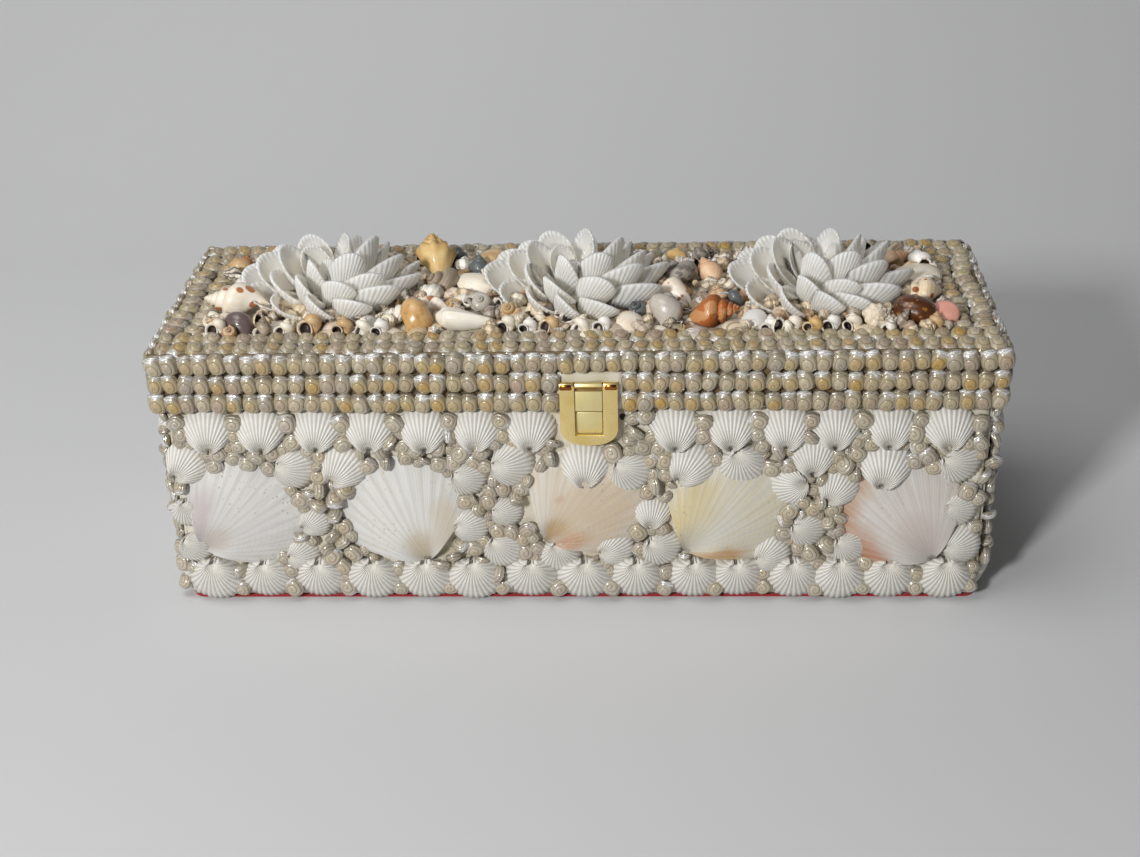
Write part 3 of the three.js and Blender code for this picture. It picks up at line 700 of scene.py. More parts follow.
def blend_pieces(name, pieces):
    """Joins plain pieces into one, with the first one's materials before the others'."""
    bpy.ops.object.select_all(action="DESELECT")
    for piece in pieces:
        piece.select_set(True)
    bpy.context.view_layer.objects.active = pieces[0]
    bpy.ops.object.join()
    joined = bpy.context.view_layer.objects.active
    joined.name = name
    joined.data.name = name
    return joined


# Finishes

def button_finish(name="Button shell", ochre=1.0, groove_shade=0.75, pale=0.0):
    """Pearly button shell: a spiral of turns, ochre or grey at the tip, pearl grey on the outer turn, with
    painted shade along its spiral groove and a painted highlight band on its upper side.
    """
    found = bpy.data.materials.get(name)
    if found:
        return found
    f = Finish(name)
    u, v, _ = f.split(f.map_place())
    x, y = u - 0.5, v - 0.5
    far = (x * x + y * y) ** 0.5 * 2
    turn = y.maths("ARCTAN2", x) / TAU
    phase = far * 3.9 - turn
    whorl = phase.maths("FRACT")
    ridge = (whorl * math.pi).maths("SINE") ** 0.55
    tint, shade = f.attribute("tint"), f.attribute("shade")
    body = f.ramp(tint, [
        (0.0, colour("9A917E")), (0.22, colour("ABA28A")), (0.42, colour("AB9F80")), (0.6, colour("ABA494")),
        (0.78, colour("B5AB92")), (0.9, colour("AB9C8B")), (1.0, colour("918979")),
    ])
    tip = f.ramp((tint * 7.3 + shade).maths("FRACT"), [
        (0.0, colour("B79B62")), (0.25, colour("B3A688")), (0.5, colour("BEB39C")), (0.7, colour("B8954C")),
        (0.85, colour("A89F90")), (1.0, colour("AC9680")),
    ])
    pearl = f.mix(shade, colour("C9C4BA"), colour("CBC2AE"))
    tone = f.mix(1 - (1 - f.steps(far, 0.22, 0.5)) * ochre, tip, body)
    tone = f.mix(f.steps(far, 0.5, 0.85) * 0.6, tone, pearl)
    tone = f.mix(pale, tone, colour("DAD6CC"))
    # Painted highlight: a white band across the upper side of each shell, where the light from above falls,
    # crossed by thin dark lines; it also makes that band a little glossier.
    level = y * 2 + (f.noise(f.place(), 700, 2) - 0.5) * 0.3
    painted_highlight = f.steps(level, 0.38, 0.5) * (1 - f.steps(level, 0.66, 0.8)) * f.steps(shade, 0.15, 0.6)
    lines = (level * 44).maths("SINE") * 0.5 + 0.5
    fine = (phase * TAU * 4).maths("SINE") * 0.5 + 0.5
    tone = f.mix(fine * 0.22, tone, colour("A08C66"), "MULTIPLY")
    # Painted shade: the colour darkens along the spiral groove, as strongly as the third argument asks.
    groove = 1 - f.steps(ridge, 0.1, 0.6)
    tone = f.mix(groove * groove_shade, tone, colour("6B5636"))
    grain = f.noise(f.place(), 900, 2)
    tone = f.mix(f.steps(grain, 0.4, 0.8) * 0.22, tone, colour("B49D72"))
    tone = f.mix(f.steps(level, 0.3, 0.5) * lines * 0.55, tone, colour("6E6252"))
    tone = f.mix(painted_highlight * (1 - lines * 0.65), tone, colour("EFEFEE"))
    height = ridge * 0.8 + fine * 0.12 + grain * 0.12
    return f.surface(
        Base_Color=tone,
        Roughness=0.2 + groove * 0.3 + f.steps(grain, 0.4, 0.8) * 0.12 - painted_highlight * 0.06,
        Metallic=f.steps(far, 0.4, 0.7) * 0.3,
        Coat_Weight=0.6,
        Coat_Roughness=0.1,
        Normal=f.bump(height, 0.5 * MM, 0.8),
    )


def ark_finish(name="Ark shell", white="E0DDD6", translucence_and_painted_light=0.05):
    """Chalky white ribbed shell, warmer towards its hinge end and inside, with painted shade in the grooves
    between its ribs.
    """
    found = bpy.data.materials.get(name)
    if found:
        return found
    f = Finish(name)
    u, v, _ = f.split(f.map_place())
    inner = v.maths("GREATER_THAN", 1.5)
    v = v - inner * 2
    rib = (u * ARK_RIBS * TAU).maths("COSINE") * 0.5 + 0.5
    shown = f.steps(v, 0.06, 0.3) * (1 - inner) + f.steps(v, 0.84, 0.97) * inner
    place = f.place()
    cloud = f.noise(place, 160, 4)
    grain = f.noise(place, 1500, 3)
    # The last argument sets the translucency and also paints the shell lighter, with paler clouds and weaker
    # painted shade in the grooves: painted light.
    dull = f.mix(0.5 - translucence_and_painted_light * 0.5, colour(white), colour("D2CEC4"))
    tone = f.mix(f.steps(cloud, 0.35, 0.7), colour(white), dull)
    tone = f.mix((1 - f.steps(v, 0.0, 0.6)) * (0.3 + inner * 0.4), tone, colour("DFD5BE"))
    # Painted shade: the grooves between the ribs are darkened.
    groove = (1 - f.steps(rib, 0.05, 0.42)) * shown
    tone = f.mix(groove * (0.45 - translucence_and_painted_light * 0.25), tone, colour("8C8675"))
    lines = (v * 46 + cloud * 2.5).maths("SINE") * 0.5 + 0.5
    height = rib * shown * 0.75 + lines * 0.08 + grain * 0.12
    return f.surface(
        Base_Color=tone,
        Roughness=0.42 + grain * 0.25 - inner * 0.1,
        Subsurface_Weight=translucence_and_painted_light,
        Subsurface_Radius=WARM_SPREAD,
        Subsurface_Scale=(1.0 + translucence_and_painted_light * 6) * MM,
        Normal=f.bump(height, 0.5 * MM, 0.8),
    )


def scallop_finish(name, ground, streak, patches, speck, seed):
    """Satin scallop: pale ground, streaks along its ribs, coloured patches and specks, with painted shade in
    the grooves between its ribs.

    Each patch has a place across and along the fan, how far it reaches each way, and a colour."""
    f = Finish(name)
    u, v, _ = f.split(f.map_place())
    place = f.place()
    moved = f.put("ShaderNodeMapping", None, {"Vector": place, "Location": (seed * 0.37, seed * 0.11, 0)})
    rays = f.noise(f.put("ShaderNodeCombineXYZ", None, [u * 46 + seed, v * 1.8, seed * 3.0]), 1.0, 4)
    cloud = f.noise(moved, 45, 5)
    rib = (u * SCALLOP_RIBS * TAU).maths("COSINE") * 0.5 + 0.5
    tone = f.mix(f.steps(rays, 0.4, 0.68) * 0.75, colour(ground), colour(streak))
    tone = f.mix(f.steps(cloud, 0.5, 0.75) * 0.4, tone, colour("D9D6CE"))
    for across, along, wide, long, code in patches:
        aside, ahead = (u - across) / wide, (v - along) / long
        near = 1 - f.steps((aside * aside + ahead * ahead) ** 0.5 + (cloud - 0.5) * 1.1, 0.25, 1.0)
        tone = f.mix(near * (0.3 + rays * 0.9), tone, colour(code))
    dots = 1 - f.steps(f.cells(moved, 420), 0.12, 0.3)
    tone = f.mix(dots * f.steps(cloud, 0.5, 0.66) * 0.6, tone, colour(speck))
    # Painted shade: the grooves between the ribs are darkened.
    groove = 1 - f.steps(rib, 0.0, 0.5)
    tone = f.mix(groove * 0.3, tone, f.mix(0.5, colour(streak), colour("9C9282")))
    lines = (v * 120 + cloud * 5).maths("SINE") * 0.5 + 0.5
    fine = (u * SCALLOP_RIBS * 4 * TAU).maths("COSINE") * 0.5 + 0.5
    height = rib * 0.6 + lines * 0.06 + fine * 0.1 + cloud * 0.24
    return f.surface(
        Base_Color=tone,
        Roughness=0.36 + cloud * 0.22,
        Subsurface_Weight=0.05,
        Subsurface_Radius=WARM_SPREAD,
        Subsurface_Scale=1.5 * MM,
        Normal=f.bump(height, 0.55 * MM, 0.8),
    )


def plaster_finish():
    """Cream plaster, lumpy and a little stained."""
    found = bpy.data.materials.get("Plaster")
    if found:
        return found
    f = Finish("Plaster")
    place = f.place()
    cloud = f.noise(place, 60, 5)
    grain = f.noise(place, 900, 4)
    tone = f.mix(f.steps(cloud, 0.35, 0.7), colour("DAD5C7"), colour("C6BDA4"))
    tone = f.mix(f.steps(grain, 0.5, 0.8) * 0.25, tone, colour("B3A27E"))
    return f.surface(
        Base_Color=tone,
        Roughness=0.6 + grain * 0.25,
        Normal=f.bump(cloud * 0.7 + grain * 0.3, 0.9 * MM, 0.8),
    )


def painted_shade_finish():
    """Dark brown backing seen between the shells of the lid: painted shade for the gaps between them."""
    found = bpy.data.materials.get("Dark glue")
    if found:
        return found
    f = Finish("Dark glue")
    cloud = f.noise(f.place(), 200, 4)
    tone = f.mix(cloud, colour("4A3A24"), colour("7E6844"))
    return f.surface(Base_Color=tone, Roughness=0.5 + cloud * 0.3, Normal=f.bump(cloud, 0.6 * MM))


def felt_finish():
    """Red felt with a short, uneven nap."""
    found = bpy.data.materials.get("Red felt")
    if found:
        return found
    f = Finish("Red felt")
    place = f.place()
    nap = f.noise(place, 2600, 4, 0.7)
    cloud = f.noise(place, 90, 3)
    tone = f.mix(nap, colour("7D0F16"), colour("B81F28"))
    tone = f.mix(f.steps(cloud, 0.4, 0.7) * 0.3, tone, colour("5E0A10"))
    return f.surface(
        Base_Color=tone, Roughness=0.92, Sheen_Weight=0.5, Sheen_Roughness=0.4,
        Normal=f.bump(nap, 0.3 * MM),
    )


def board_finish():
    """Pale bare board with a faint grain."""
    found = bpy.data.materials.get("Bare board")
    if found:
        return found
    f = Finish("Bare board")
    stretched = f.put("ShaderNodeMapping", None, {"Vector": f.place(), "Scale": (12, 260, 260)})
    grain = f.noise(stretched, 1.0, 5)
    tone = f.mix(grain, colour("D9CDB6"), colour("EDE6D6"))
    return f.surface(Base_Color=tone, Roughness=0.75 + grain * 0.15, Normal=f.bump(grain, 0.2 * MM))


def metal_finish(name, bright, dull, rough, wear, metallic):
    """Plated metal with fine scratches and duller patches."""
    found = bpy.data.materials.get(name)
    if found:
        return found
    f = Finish(name)
    place = f.place()
    cloud = f.noise(place, 130, 4)
    scratch = f.noise(f.put("ShaderNodeMapping", None, {"Vector": place, "Scale": (2200, 300, 60)}), 1.0, 2)
    tone = f.mix(f.steps(cloud, 0.4, 0.75) * wear, bright, dull)
    return f.surface(
        Base_Color=tone,
        Metallic=metallic,
        Roughness=rough + f.steps(cloud, 0.35, 0.8) * 0.14 + scratch * 0.05,
        Normal=f.bump(scratch * 0.3 + cloud * 0.7, 0.06 * MM, 0.4),
    )


def coil_finish(name, ground, second, spot, bands, stripes, spots, gloss, inside="33241A"):
    """A patterned shell: bands along the turns, stripes across them, and spots, with painted shade along the
    suture and deep in the mouth.

    Each of the three has a number or a scale, then a strength."""
    found = bpy.data.materials.get(name)
    if found:
        return found
    f = Finish(name)
    ground, second, spot = colour(ground), colour(second), colour(spot)
    u, v, _ = f.split(f.map_place())
    place = f.place()
    cloud = f.noise(place, 140, 4)
    grain = f.noise(place, 1100, 3)
    tone = f.mix(f.steps(cloud, 0.38, 0.68) * 0.5, ground, second)
    if bands[1]:
        band = (v * bands[0] * TAU + cloud * 1.2).maths("SINE") * 0.5 + 0.5
        tone = f.mix(f.steps(band, 0.45, 0.8) * bands[1], tone, second)
    if stripes[1]:
        wavy = u * stripes[0] * TAU + cloud * 9 + (v * TAU * 2).maths("SINE") * 0.7
        stripe = wavy.maths("SINE") * 0.5 + 0.5
        tone = f.mix(f.steps(stripe, 0.5, 0.75) * stripes[1], tone, spot)
    if spots[1]:
        near = f.cells(place, spots[0])
        tone = f.mix((1 - f.steps(near + (cloud - 0.5) * 0.6, 0.27, 0.35)) * spots[1], tone, spot)
    tone = f.mix(f.steps(grain, 0.5, 0.8) * 0.18, tone, second, "MULTIPLY")
    # Painted shade: darker along the suture, where each turn meets the one before.
    suture_shade = 1 - f.steps((v - 0.3).maths("ABSOLUTE"), 0.0, 0.05)
    tone = f.mix(suture_shade * 0.35, tone, f.mix(0.6, second, colour("4A3320")))
    tone = f.mix(f.steps(u, 0.995, 1.03), tone, f.mix(0.4, ground, colour("F2ECE2")))
    # Painted shade: dark deep in the mouth.
    tone = f.mix(f.steps(u, 1.1, 1.2), tone, colour(inside))
    cords = (v * TAU * 18).maths("SINE") * 0.5 + 0.5
    lines = (u * TAU * 90).maths("SINE") * 0.5 + 0.5
    return f.surface(
        Base_Color=tone,
        Roughness=0.62 - gloss * 0.42 + grain * 0.14,
        Coat_Weight=gloss * 0.4,
        Coat_Roughness=0.1,
        Normal=f.bump(cords * 0.35 + lines * 0.15 + cloud * 0.4 + grain * 0.1, 0.3 * MM, 1.0 - gloss * 0.6),
    )


def small_finish():
    """Small mixed shells: white, cream, tan, ochre and slate by chance, with painted shade deep in their
    mouths.
    """
    found = bpy.data.materials.get("Small shells")
    if found:
        return found
    f = Finish("Small shells")
    u, v, _ = f.split(f.map_place())
    place = f.place()
    tint, shade = f.attribute("tint"), f.attribute("shade")
    grain = f.noise(place, 900, 3)
    ground = f.ramp(tint, [
        (0.0, colour("F0EBE0")), (0.28, colour("E9DFC8")), (0.45, colour("D9C29A")), (0.6, colour("EFE9DF")),
        (0.72, colour("C79A62")), (0.82, colour("A9A196")), (0.9, colour("E4D4B8")), (1.0, colour("6F6A66")),
    ])
    dark = f.mix(shade, colour("8A5A33"), colour("6B5B4C"))
    stripe = (u * TAU * 26 + grain * 3).maths("SINE") * 0.5 + 0.5
    tone = f.mix(f.steps(stripe, 0.45, 0.8) * f.steps(shade, 0.55, 0.75) * 0.6, ground, dark)
    band = (v * TAU * 3).maths("SINE") * 0.5 + 0.5
    tone = f.mix(f.steps(band, 0.6, 0.9) * (1 - f.steps(shade, 0.2, 0.4)) * 0.6, tone, dark)
    tone = f.mix(f.steps(grain, 0.45, 0.8) * 0.3, tone, colour("C8B48C"), "MULTIPLY")
    tone = f.mix(f.steps(u, 0.995, 1.03), tone, colour("E9E2D5"))
    # Painted shade: dark deep in the mouth.
    tone = f.mix(f.steps(u, 1.1, 1.2), tone, colour("33241A"))
    cords = (v * TAU * 10).maths("SINE") * 0.5 + 0.5
    return f.surface(
        Base_Color=tone, Roughness=0.3 + grain * 0.25, Coat_Weight=0.2, Coat_Roughness=0.15,
        Normal=f.bump(cords * 0.5 + grain * 0.5, 0.3 * MM),
    )


# Sizes and colours

class ButtonSizes(PropertyGroup):
    """Button shells of the lid and between the larger shells."""

    across: FloatProperty(
        name="Across", description="Width of a button shell", default=8.1 * MM, unit="LENGTH"
    )
    rise: FloatProperty(
        name="Rise", description="Height of a button shell", default=5.4 * MM, unit="LENGTH"
    )
    front_pitch: FloatProperty(
        name="Front pitch", description="Step between shells along the front", default=6.85 * MM,
        unit="LENGTH",
    )
    side_pitch: FloatProperty(
        name="Side pitch", description="Step between shells along the sides", default=8.4 * MM,
        unit="LENGTH",
    )
    lean: FloatProperty(
        name="Lean", description="How far the tips lean down on the faces", default=0.2, subtype="ANGLE"
    )
    seed: IntProperty(name="Seed", description="Changes which shell goes where", default=5)


class ValveSizes(PropertyGroup):
    """Ark shells and scallops."""

    ark_length: FloatProperty(
        name="Ark length", description="Share of its width that an ark shell is long", default=0.83
    )
    ark_rise: FloatProperty(name="Ark rise", description="Share of its width that it bulges", default=0.29)
    scallop_across: FloatProperty(
        name="Scallop across", description="Width of a scallop", default=57.5 * MM, unit="LENGTH"
    )
    scallop_rise: FloatProperty(
        name="Scallop rise", description="Bulge of a scallop", default=6.4 * MM, unit="LENGTH"
    )


class StageSizes(PropertyGroup):
    """Camera and light."""

    lens: FloatProperty(
        name="Lens", description="Focal length of the camera", default=55.26, unit="CAMERA"
    )
    yaw: FloatProperty(
        name="Yaw", description="Camera's turn round the box", default=0.0538, subtype="ANGLE"
    )
    pitch: FloatProperty(name="Pitch", description="Camera's look down", default=0.4844, subtype="ANGLE")
    roll: FloatProperty(name="Roll", description="Camera's tilt", default=-0.0304, subtype="ANGLE")
    place: FloatVectorProperty(
        name="Place", description="Camera's place", default=(0.03383, -0.73071, 0.44148),
        subtype="TRANSLATION",
    )
    key: FloatProperty(
        name="Key light", description="Power of the light from the front left", default=21.0, unit="POWER"
    )
    top: FloatProperty(
        name="Top light", description="Power of the light overhead", default=7.0, unit="POWER"
    )
    floor: FloatVectorProperty(
        name="Floor", description="Colour of the floor", default=(0.6, 0.6, 0.605), subtype="COLOR"
    )


class ShellBoxSizes(PropertyGroup):
    """All sizes of the box's shellwork."""

    buttons: PointerProperty(type=ButtonSizes)
    valves: PointerProperty(type=ValveSizes)
    stage: PointerProperty(type=StageSizes)


# Pieces

def button_mesh():
    """A fresh mesh of one button shell."""
    b = sizes().buttons
    return button_form(b.across, b.rise).mesh("button")


def loose_button_mesh():
    """A fresh mesh of a rounder, flatter button shell for the faces of the box."""
    b = sizes().buttons
    return button_form(b.across, b.rise * 0.8, 1.12, 0.06).mesh("loose_button")


def ark_mesh(name):
    """A fresh mesh of one ark shell, one metre wide, closed below and ready to sink in plaster."""
    v = sizes().valves
    ridge, per_rib, rings, beak = 0.012, 2, 6, 0.3
    form = valve(
        1, v.ark_length, v.ark_rise, ARK_RIBS, ridge, per_rib, rings, ARK_SPREAD, ark_outline, beak
    )
    return close_below(form.mesh(name), -0.09)


def plaster_bed(name, low, high):
    """A lumpy sheet of plaster between two corners in X and Y, closed below."""
    step = 2.2 * MM
    columns = max(2, round((high[0] - low[0]) / step))
    rows = max(2, round((high[1] - low[1]) / step))
    chance = random.Random(name)
    points = []
    for j in range(rows + 1):
        row = []
        for i in range(columns + 1):
            x = low[0] + (high[0] - low[0]) * i / columns
            y = low[1] + (high[1] - low[1]) * j / rows
            edge = i in (0, columns) or j in (0, rows)
            lump = 0.35 * MM * math.sin(x * 410) * math.sin(y * 530) + chance.uniform(-0.25, 0.25) * MM
            row.append((x, y, BED if edge else BED + 0.3 * MM + lump))
        points.append(row)
    form = Form()
    form.grid(points)
    return close_below(form.mesh(name), 0.05 * MM)


def spaced(first, last, count):
    """Evenly spaced values."""
    return [first + (last - first) * i / (count - 1) for i in range(count)]


def ark_places(layout, arks):
    """Adds ark shells at x, height, way of the fan and width, all in millimetres and degrees."""
    length = sizes().valves.ark_length
    for x, y, way, width in arks:
        turn = math.radians(way - 90) + layout.chance.uniform(-0.06, 0.06)
        back = width * ARK_STRETCH * length / 2
        hinge = (
            (x - math.cos(math.radians(way)) * back) * MM,
            (y - math.sin(math.radians(way)) * back) * MM,
            SEAT,
        )
        rise = Euler((layout.chance.uniform(-0.05, 0.08), 0, 0)).to_matrix()
        tilt = Euler((0, 0, turn)).to_matrix() @ rise
        layout.put(hinge, tilt.to_euler(), width * ARK_STRETCH * MM, layout.chance.randrange(2))


def loose_buttons(layout, low, high, arks, scallops, bare, first, tries=14000):
    """Fills what the larger shells leave free with button shells, the large ones first, some on edge.

    The places in first come before those found by chance."""
    chance = layout.chance
    taken = []
    for i in range(tries):
        size = chance.uniform(0.9, 1.08) - 0.4 * max(0, i - len(first)) / tries
        reach = size * BUTTON_REACH
        given = i < len(first)
        if given:
            x, y = first[i]
        else:
            x, y = chance.uniform(low[0], high[0]), chance.uniform(low[1], high[1])
        if any(x0 < x < x1 and y0 < y < y1 for x0, x1, y0, y1 in bare):
            continue
        if any(math.hypot(x - sx, y - sy) < SCALLOP_REACH + reach * 0.6 for sx, sy in scallops):
            continue
        room = reach * 0.75
        if not given and any(math.hypot(x - ax, y - ay) < wide * 0.4 + room for ax, ay, _, wide in arks):
            continue
        if any(math.hypot(x - tx, y - ty) < (reach + other) * 0.9 for tx, ty, other in taken):
            continue
        taken.append((x, y, reach))
        edge = chance.random() < ON_EDGE and not given
        tip = chance.uniform(0.9, 1.35) if edge else chance.uniform(0, 0.4)
        way = chance.uniform(0, TAU)
        turn = Euler((0, 0, way)).to_matrix() @ Euler((tip, 0, 0)).to_matrix()
        turn = turn @ Euler((0, 0, chance.uniform(0, TAU))).to_matrix()
        height = BED + (2.0 if edge else 0.5) * MM + chance.uniform(0, 0.8) * MM
        layout.put((x * MM, y * MM, height), turn.to_euler(), size)


def scallop_middle(x, y, way):
    """Middle of a scallop's fan, from its hinge end."""
    way = math.radians(way)
    return x + SCALLOP_MIDDLE * math.cos(way), y + SCALLOP_MIDDLE * math.sin(way)


SIDE_ROW = spaced(-45, 45, 5)
BACK_ROW = spaced(-163, 163, 15)
HINGE_X = (-120, 120)


def face_plan(name):
    """Ark shells, scallops and bare places of a face: its own x and height in millimetres."""
    if name == "front":
        arks = [(x, UPPER_ROW, 90, 22) for x in FRONT_UPPER]
        arks += [(x, LOWER_ROW, -90, 24.5) for x in FRONT_LOWER] + FRONT_ARKS
        return arks, FRONT_SCALLOPS, [(-10, 23, 76, 99)]
    if name == "back":
        upper = [x for x in BACK_ROW if all(abs(x - h) > 18 for h in HINGE_X)]
        arks = [(x, UPPER_ROW, 90, 22) for x in upper] + [(x, LOWER_ROW, -90, 22) for x in BACK_ROW]
        arks += [(x, y, way, 19) for x in (-105, 105) for y, way in ((33, -60), (60, 90))]
        scallops = [(x, 21, 90 + (i - 2) * 7) for i, x in enumerate((-140, -70, 0, 70, 140))]
        return arks, scallops, [(x - 16, x + 16, 86, 99) for x in HINGE_X]
    arks = [(x, UPPER_ROW, 90, 22) for x in SIDE_ROW] + [(x, LOWER_ROW, -90, 22) for x in SIDE_ROW]
    return arks + [(-42, 48, 120, 19), (42, 48, 60, 19)], [(0, 21, 90)], []


FACES = {"front": 0, "right": 90, "back": 180, "left": -90}


def face_distance(name, high):
    """How far a face's board stands from the middle, for boards with that high corner."""
    return (high.y if name in ("front", "back") else high.x) + GAP


class ShellFaces(Operator):
    """Plaster, ark shells and loose button shells on the four faces of the box"""

    bl_idname = "shell_box.faces"
    bl_label = "Shell faces"

    def execute(self, context):
        for i, (name, turn) in enumerate(FACES.items()):
            self.make_face(name, turn, i)
        return {"FINISHED"}

    def make_face(self, name, turn, seed):
        """One face: three pieces, of which the ark shells stand for the fused solid."""
        arks, scallops, bare = face_plan(name)
        wide = BOX_HIGH.x if name in ("front", "back") else BOX_HIGH.y
        out = face_matrix(turn, face_distance(name, BOX_HIGH))
        low, high = (-wide, BOX_LOW.z + 0.6 * MM), (wide, BOX_HIGH.z - 0.5 * MM)
        bed = show(f"{name}_plaster", plaster_bed(f"{name}_plaster", low, high), plaster_finish())
        bed.data.transform(out)
        dress(bed, "box", "ark_shell")
        layout = Layout(20 + seed)
        ark_places(layout, arks)
        templates = [ark_mesh(f"ark_{k}") for k in range(2)]
        shells = set_shells(f"{name}_ark_shells", layout, templates, ark_finish())
        shells.data.transform(out)
        dress(shells, "box", "ark_shell", f"{name}_shellwork")
        loose = Layout(40 + seed)
        middles = [scallop_middle(*s) for s in scallops]
        edge = wide / MM
        between = [
            ((a[0] + b[0]) / 2, BETWEEN_UPPER if a[1] == UPPER_ROW else BETWEEN_LOWER)
            for a, b in zip(arks, arks[1:])
            if a[1] == b[1] and a[1] in (UPPER_ROW, LOWER_ROW) and 15 < abs(a[0] - b[0]) < 30
        ]
        corners = (-edge + 1, BETWEEN_LOWER), (edge - 1, 94)
        loose_buttons(loose, *corners, arks, middles, bare, between)
        finish = button_finish("Loose button shell", 0.45, 0.8, 0.3)
        buttons = set_shells(f"{name}_loose_buttons", loose, [loose_button_mesh()], finish)
        buttons.data.transform(out)
        dress(buttons, "box", "button_shell")


# Scallops: ground, streaks, patches and specks
SCALLOP_TONES = {
    1: ("CFCDC9", "C3BFBB", [(0.1, 0.45, 0.22, 0.5, "B8ACAC"), (0.5, 0.15, 0.4, 0.25, "C0B4AA")], "8E787C"),
    2: ("D3D2CE", "C9C6BE", [(0.5, 0.15, 0.5, 0.3, "BFAE8D"), (0.9, 0.5, 0.2, 0.4, "C7BCA6")], "B09878"),
    3: ("CFC9BE", "CDBFA8", [
        (0.85, 0.27, 0.3, 0.28, "B5713A"), (0.4, 0.14, 0.4, 0.22, "B98F4C"),
        (0.27, 0.5, 0.05, 0.05, "B99A90"), (0.6, 0.6, 0.5, 0.5, "CBB698"),
    ], "9C6A54"),
    4: ("D0CDC1", "CBC1A2", [(0.97, 0.4, 0.16, 0.5, "B58238"), (0.1, 0.5, 0.4, 0.5, "CDBB86")], "938468"),
    5: ("CBC7C1", "C4B9AE", [
        (0.05, 0.8, 0.28, 0.45, "AA6A40"), (0.35, 0.98, 0.35, 0.24, "B4875E"),
        (0.6, 0.3, 0.4, 0.3, "BFB3AC"),
    ], "985C42"),
}


class Scallops(Operator):
    """Scallops on the four faces of the box"""

    bl_idname = "shell_box.scallops"
    bl_label = "Scallops"

    def execute(self, context):
        v = sizes().valves
        ridge, per_rib, rings, beak = 0.34 * MM, 6, 22, 0.25
        for name, turn in FACES.items():
            _, scallops, _ = face_plan(name)
            out = face_matrix(turn, face_distance(name, BOX_HIGH))
            for i, (x, y, way) in enumerate(scallops, 1):
                form = valve(
                    v.scallop_across, v.scallop_across * 0.96, v.scallop_rise, SCALLOP_RIBS, ridge, per_rib,
                    rings, SCALLOP_SPREAD, scallop_outline, beak,
                )
                mesh = close_below(form.mesh(f"{name}_scallop_{i}_shell"), -0.6 * MM)
                place = Matrix.Translation((x * MM, y * MM, SEAT))
                mesh.transform(out @ place @ Matrix.Rotation(math.radians(way - 90), 4, "Z"))
                tones = SCALLOP_TONES[(i - 1) % 5 + 1] if name in ("front", "back") else SCALLOP_TONES[2]
                finish = scallop_finish(f"Scallop {name} {i}", *tones, i + turn % 7)
                piece = show(f"{name}_scallop_{i}_shell", mesh, finish)
                dress(piece, "box", "scallop_shell", f"{name}_scallop_{i}")
        return {"FINISHED"}


class ButtonRows(Operator):
    """Rows of button shells on the lid's faces and round its top"""

    bl_idname = "shell_box.button_rows"
    bl_label = "Button rows"

    def execute(self, context):
        b = sizes().buttons
        finish = button_finish()
        latch_low, latch_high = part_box("latch_frame")
        for i, (name, turn) in enumerate(FACES.items()):
            low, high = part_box(f"lid_{name}_buttons")
            long_side = name in ("front", "back")
            length = (high.x - low.x) if long_side else (high.y - low.y)
            pitch = b.front_pitch if long_side else b.side_pitch
            gap = None
            if name == "front":
                clear, top = 2.5 * MM, 115 * MM
                gap = (latch_low.x - clear, latch_high.x + clear, top - (low.z + high.z) / 2)
            rows = shell_rows(
                f"lid_{name}_button_rows", length, high.z - low.z, round(length / pitch), 3, button_mesh(),
                finish, lean=b.lean, gap=gap, seed=b.seed + i * 20,
            )
            out = face_matrix(turn, face_distance(name, LID_HIGH))
            middle = (low.z + high.z) / 2
            rows.data.transform(out @ Matrix.Translation((0, middle, 0.2 * MM)))
            back = self.backing(name, length, high.z - low.z, out @ Matrix.Translation((0, middle, 0)))
            dress(rows, "lid", "button_shell", f"lid_{name}_buttons")
            dress(back, "lid", "button_shell")
        for i, name in enumerate(("front", "back", "left", "right")):
            low, high = self.border_corners(name)
            wide, deep = high.x - low.x, high.y - low.y
            long_side = name in ("front", "back")
            pitch = b.front_pitch if long_side else b.side_pitch
            counts = (round(wide / pitch), 2) if long_side else (2, round(deep / pitch))
            # The turn of each top row sets which way the painted highlight band on its shells faces.
            turn = {"left": -math.pi / 2, "right": math.pi / 2}.get(name, math.pi)
            rows = shell_rows(
                f"lid_top_{name}_button_rows", wide, deep, *counts, button_mesh(), finish,
                lean=0.12, sway=0.35 if long_side else 0.0, seed=b.seed + 100 + i * 20, turn=turn,
            )
            middle = Matrix.Translation(((low.x + high.x) / 2, (low.y + high.y) / 2, LID_HIGH.z + GAP))
            rows.data.transform(middle)
            back = self.backing("top_" + name, wide, deep, middle)
            dress(rows, "lid", "button_shell", f"lid_top_{name}_buttons")
            dress(back, "lid", "button_shell")
        return {"FINISHED"}

    @staticmethod
    def border_corners(name, reach=1.4 * MM):
        """Low and high corners of a strip of the lid's border, which reaches over the lid's edge."""
        low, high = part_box(f"lid_top_{name}_buttons")
        low.x -= 0 if name == "right" else reach
        high.x += 0 if name == "left" else reach
        low.y -= reach if name == "front" else 0
        high.y += reach if name == "back" else 0
        return low, high

    @staticmethod
    def backing(name, length, height, place):
        """Dark backing behind the rows: painted shade for the gaps between the shells."""
        half = (length / 2 - 1 * MM, height / 2 - 0.6 * MM)
        mesh = plaster_bed(f"lid_{name}_glue", (-half[0], -half[1]), half)
        mesh.transform(place @ Matrix.Diagonal((1, 1, 0.6, 1)))
        return show(f"lid_{name}_glue", mesh, painted_shade_finish())


# Rings of petals: how many, how far out, tilt up, length and height of the hinge end
PETAL_RINGS = [
    (12, 14, 22, 27, 2.5),
    (10, 9, 38, 26.5, 4),
    (6, 5, 56, 25, 6),
    (3, 2, 64, 19, 6.5),
]
FLOWER_TWIST = -34


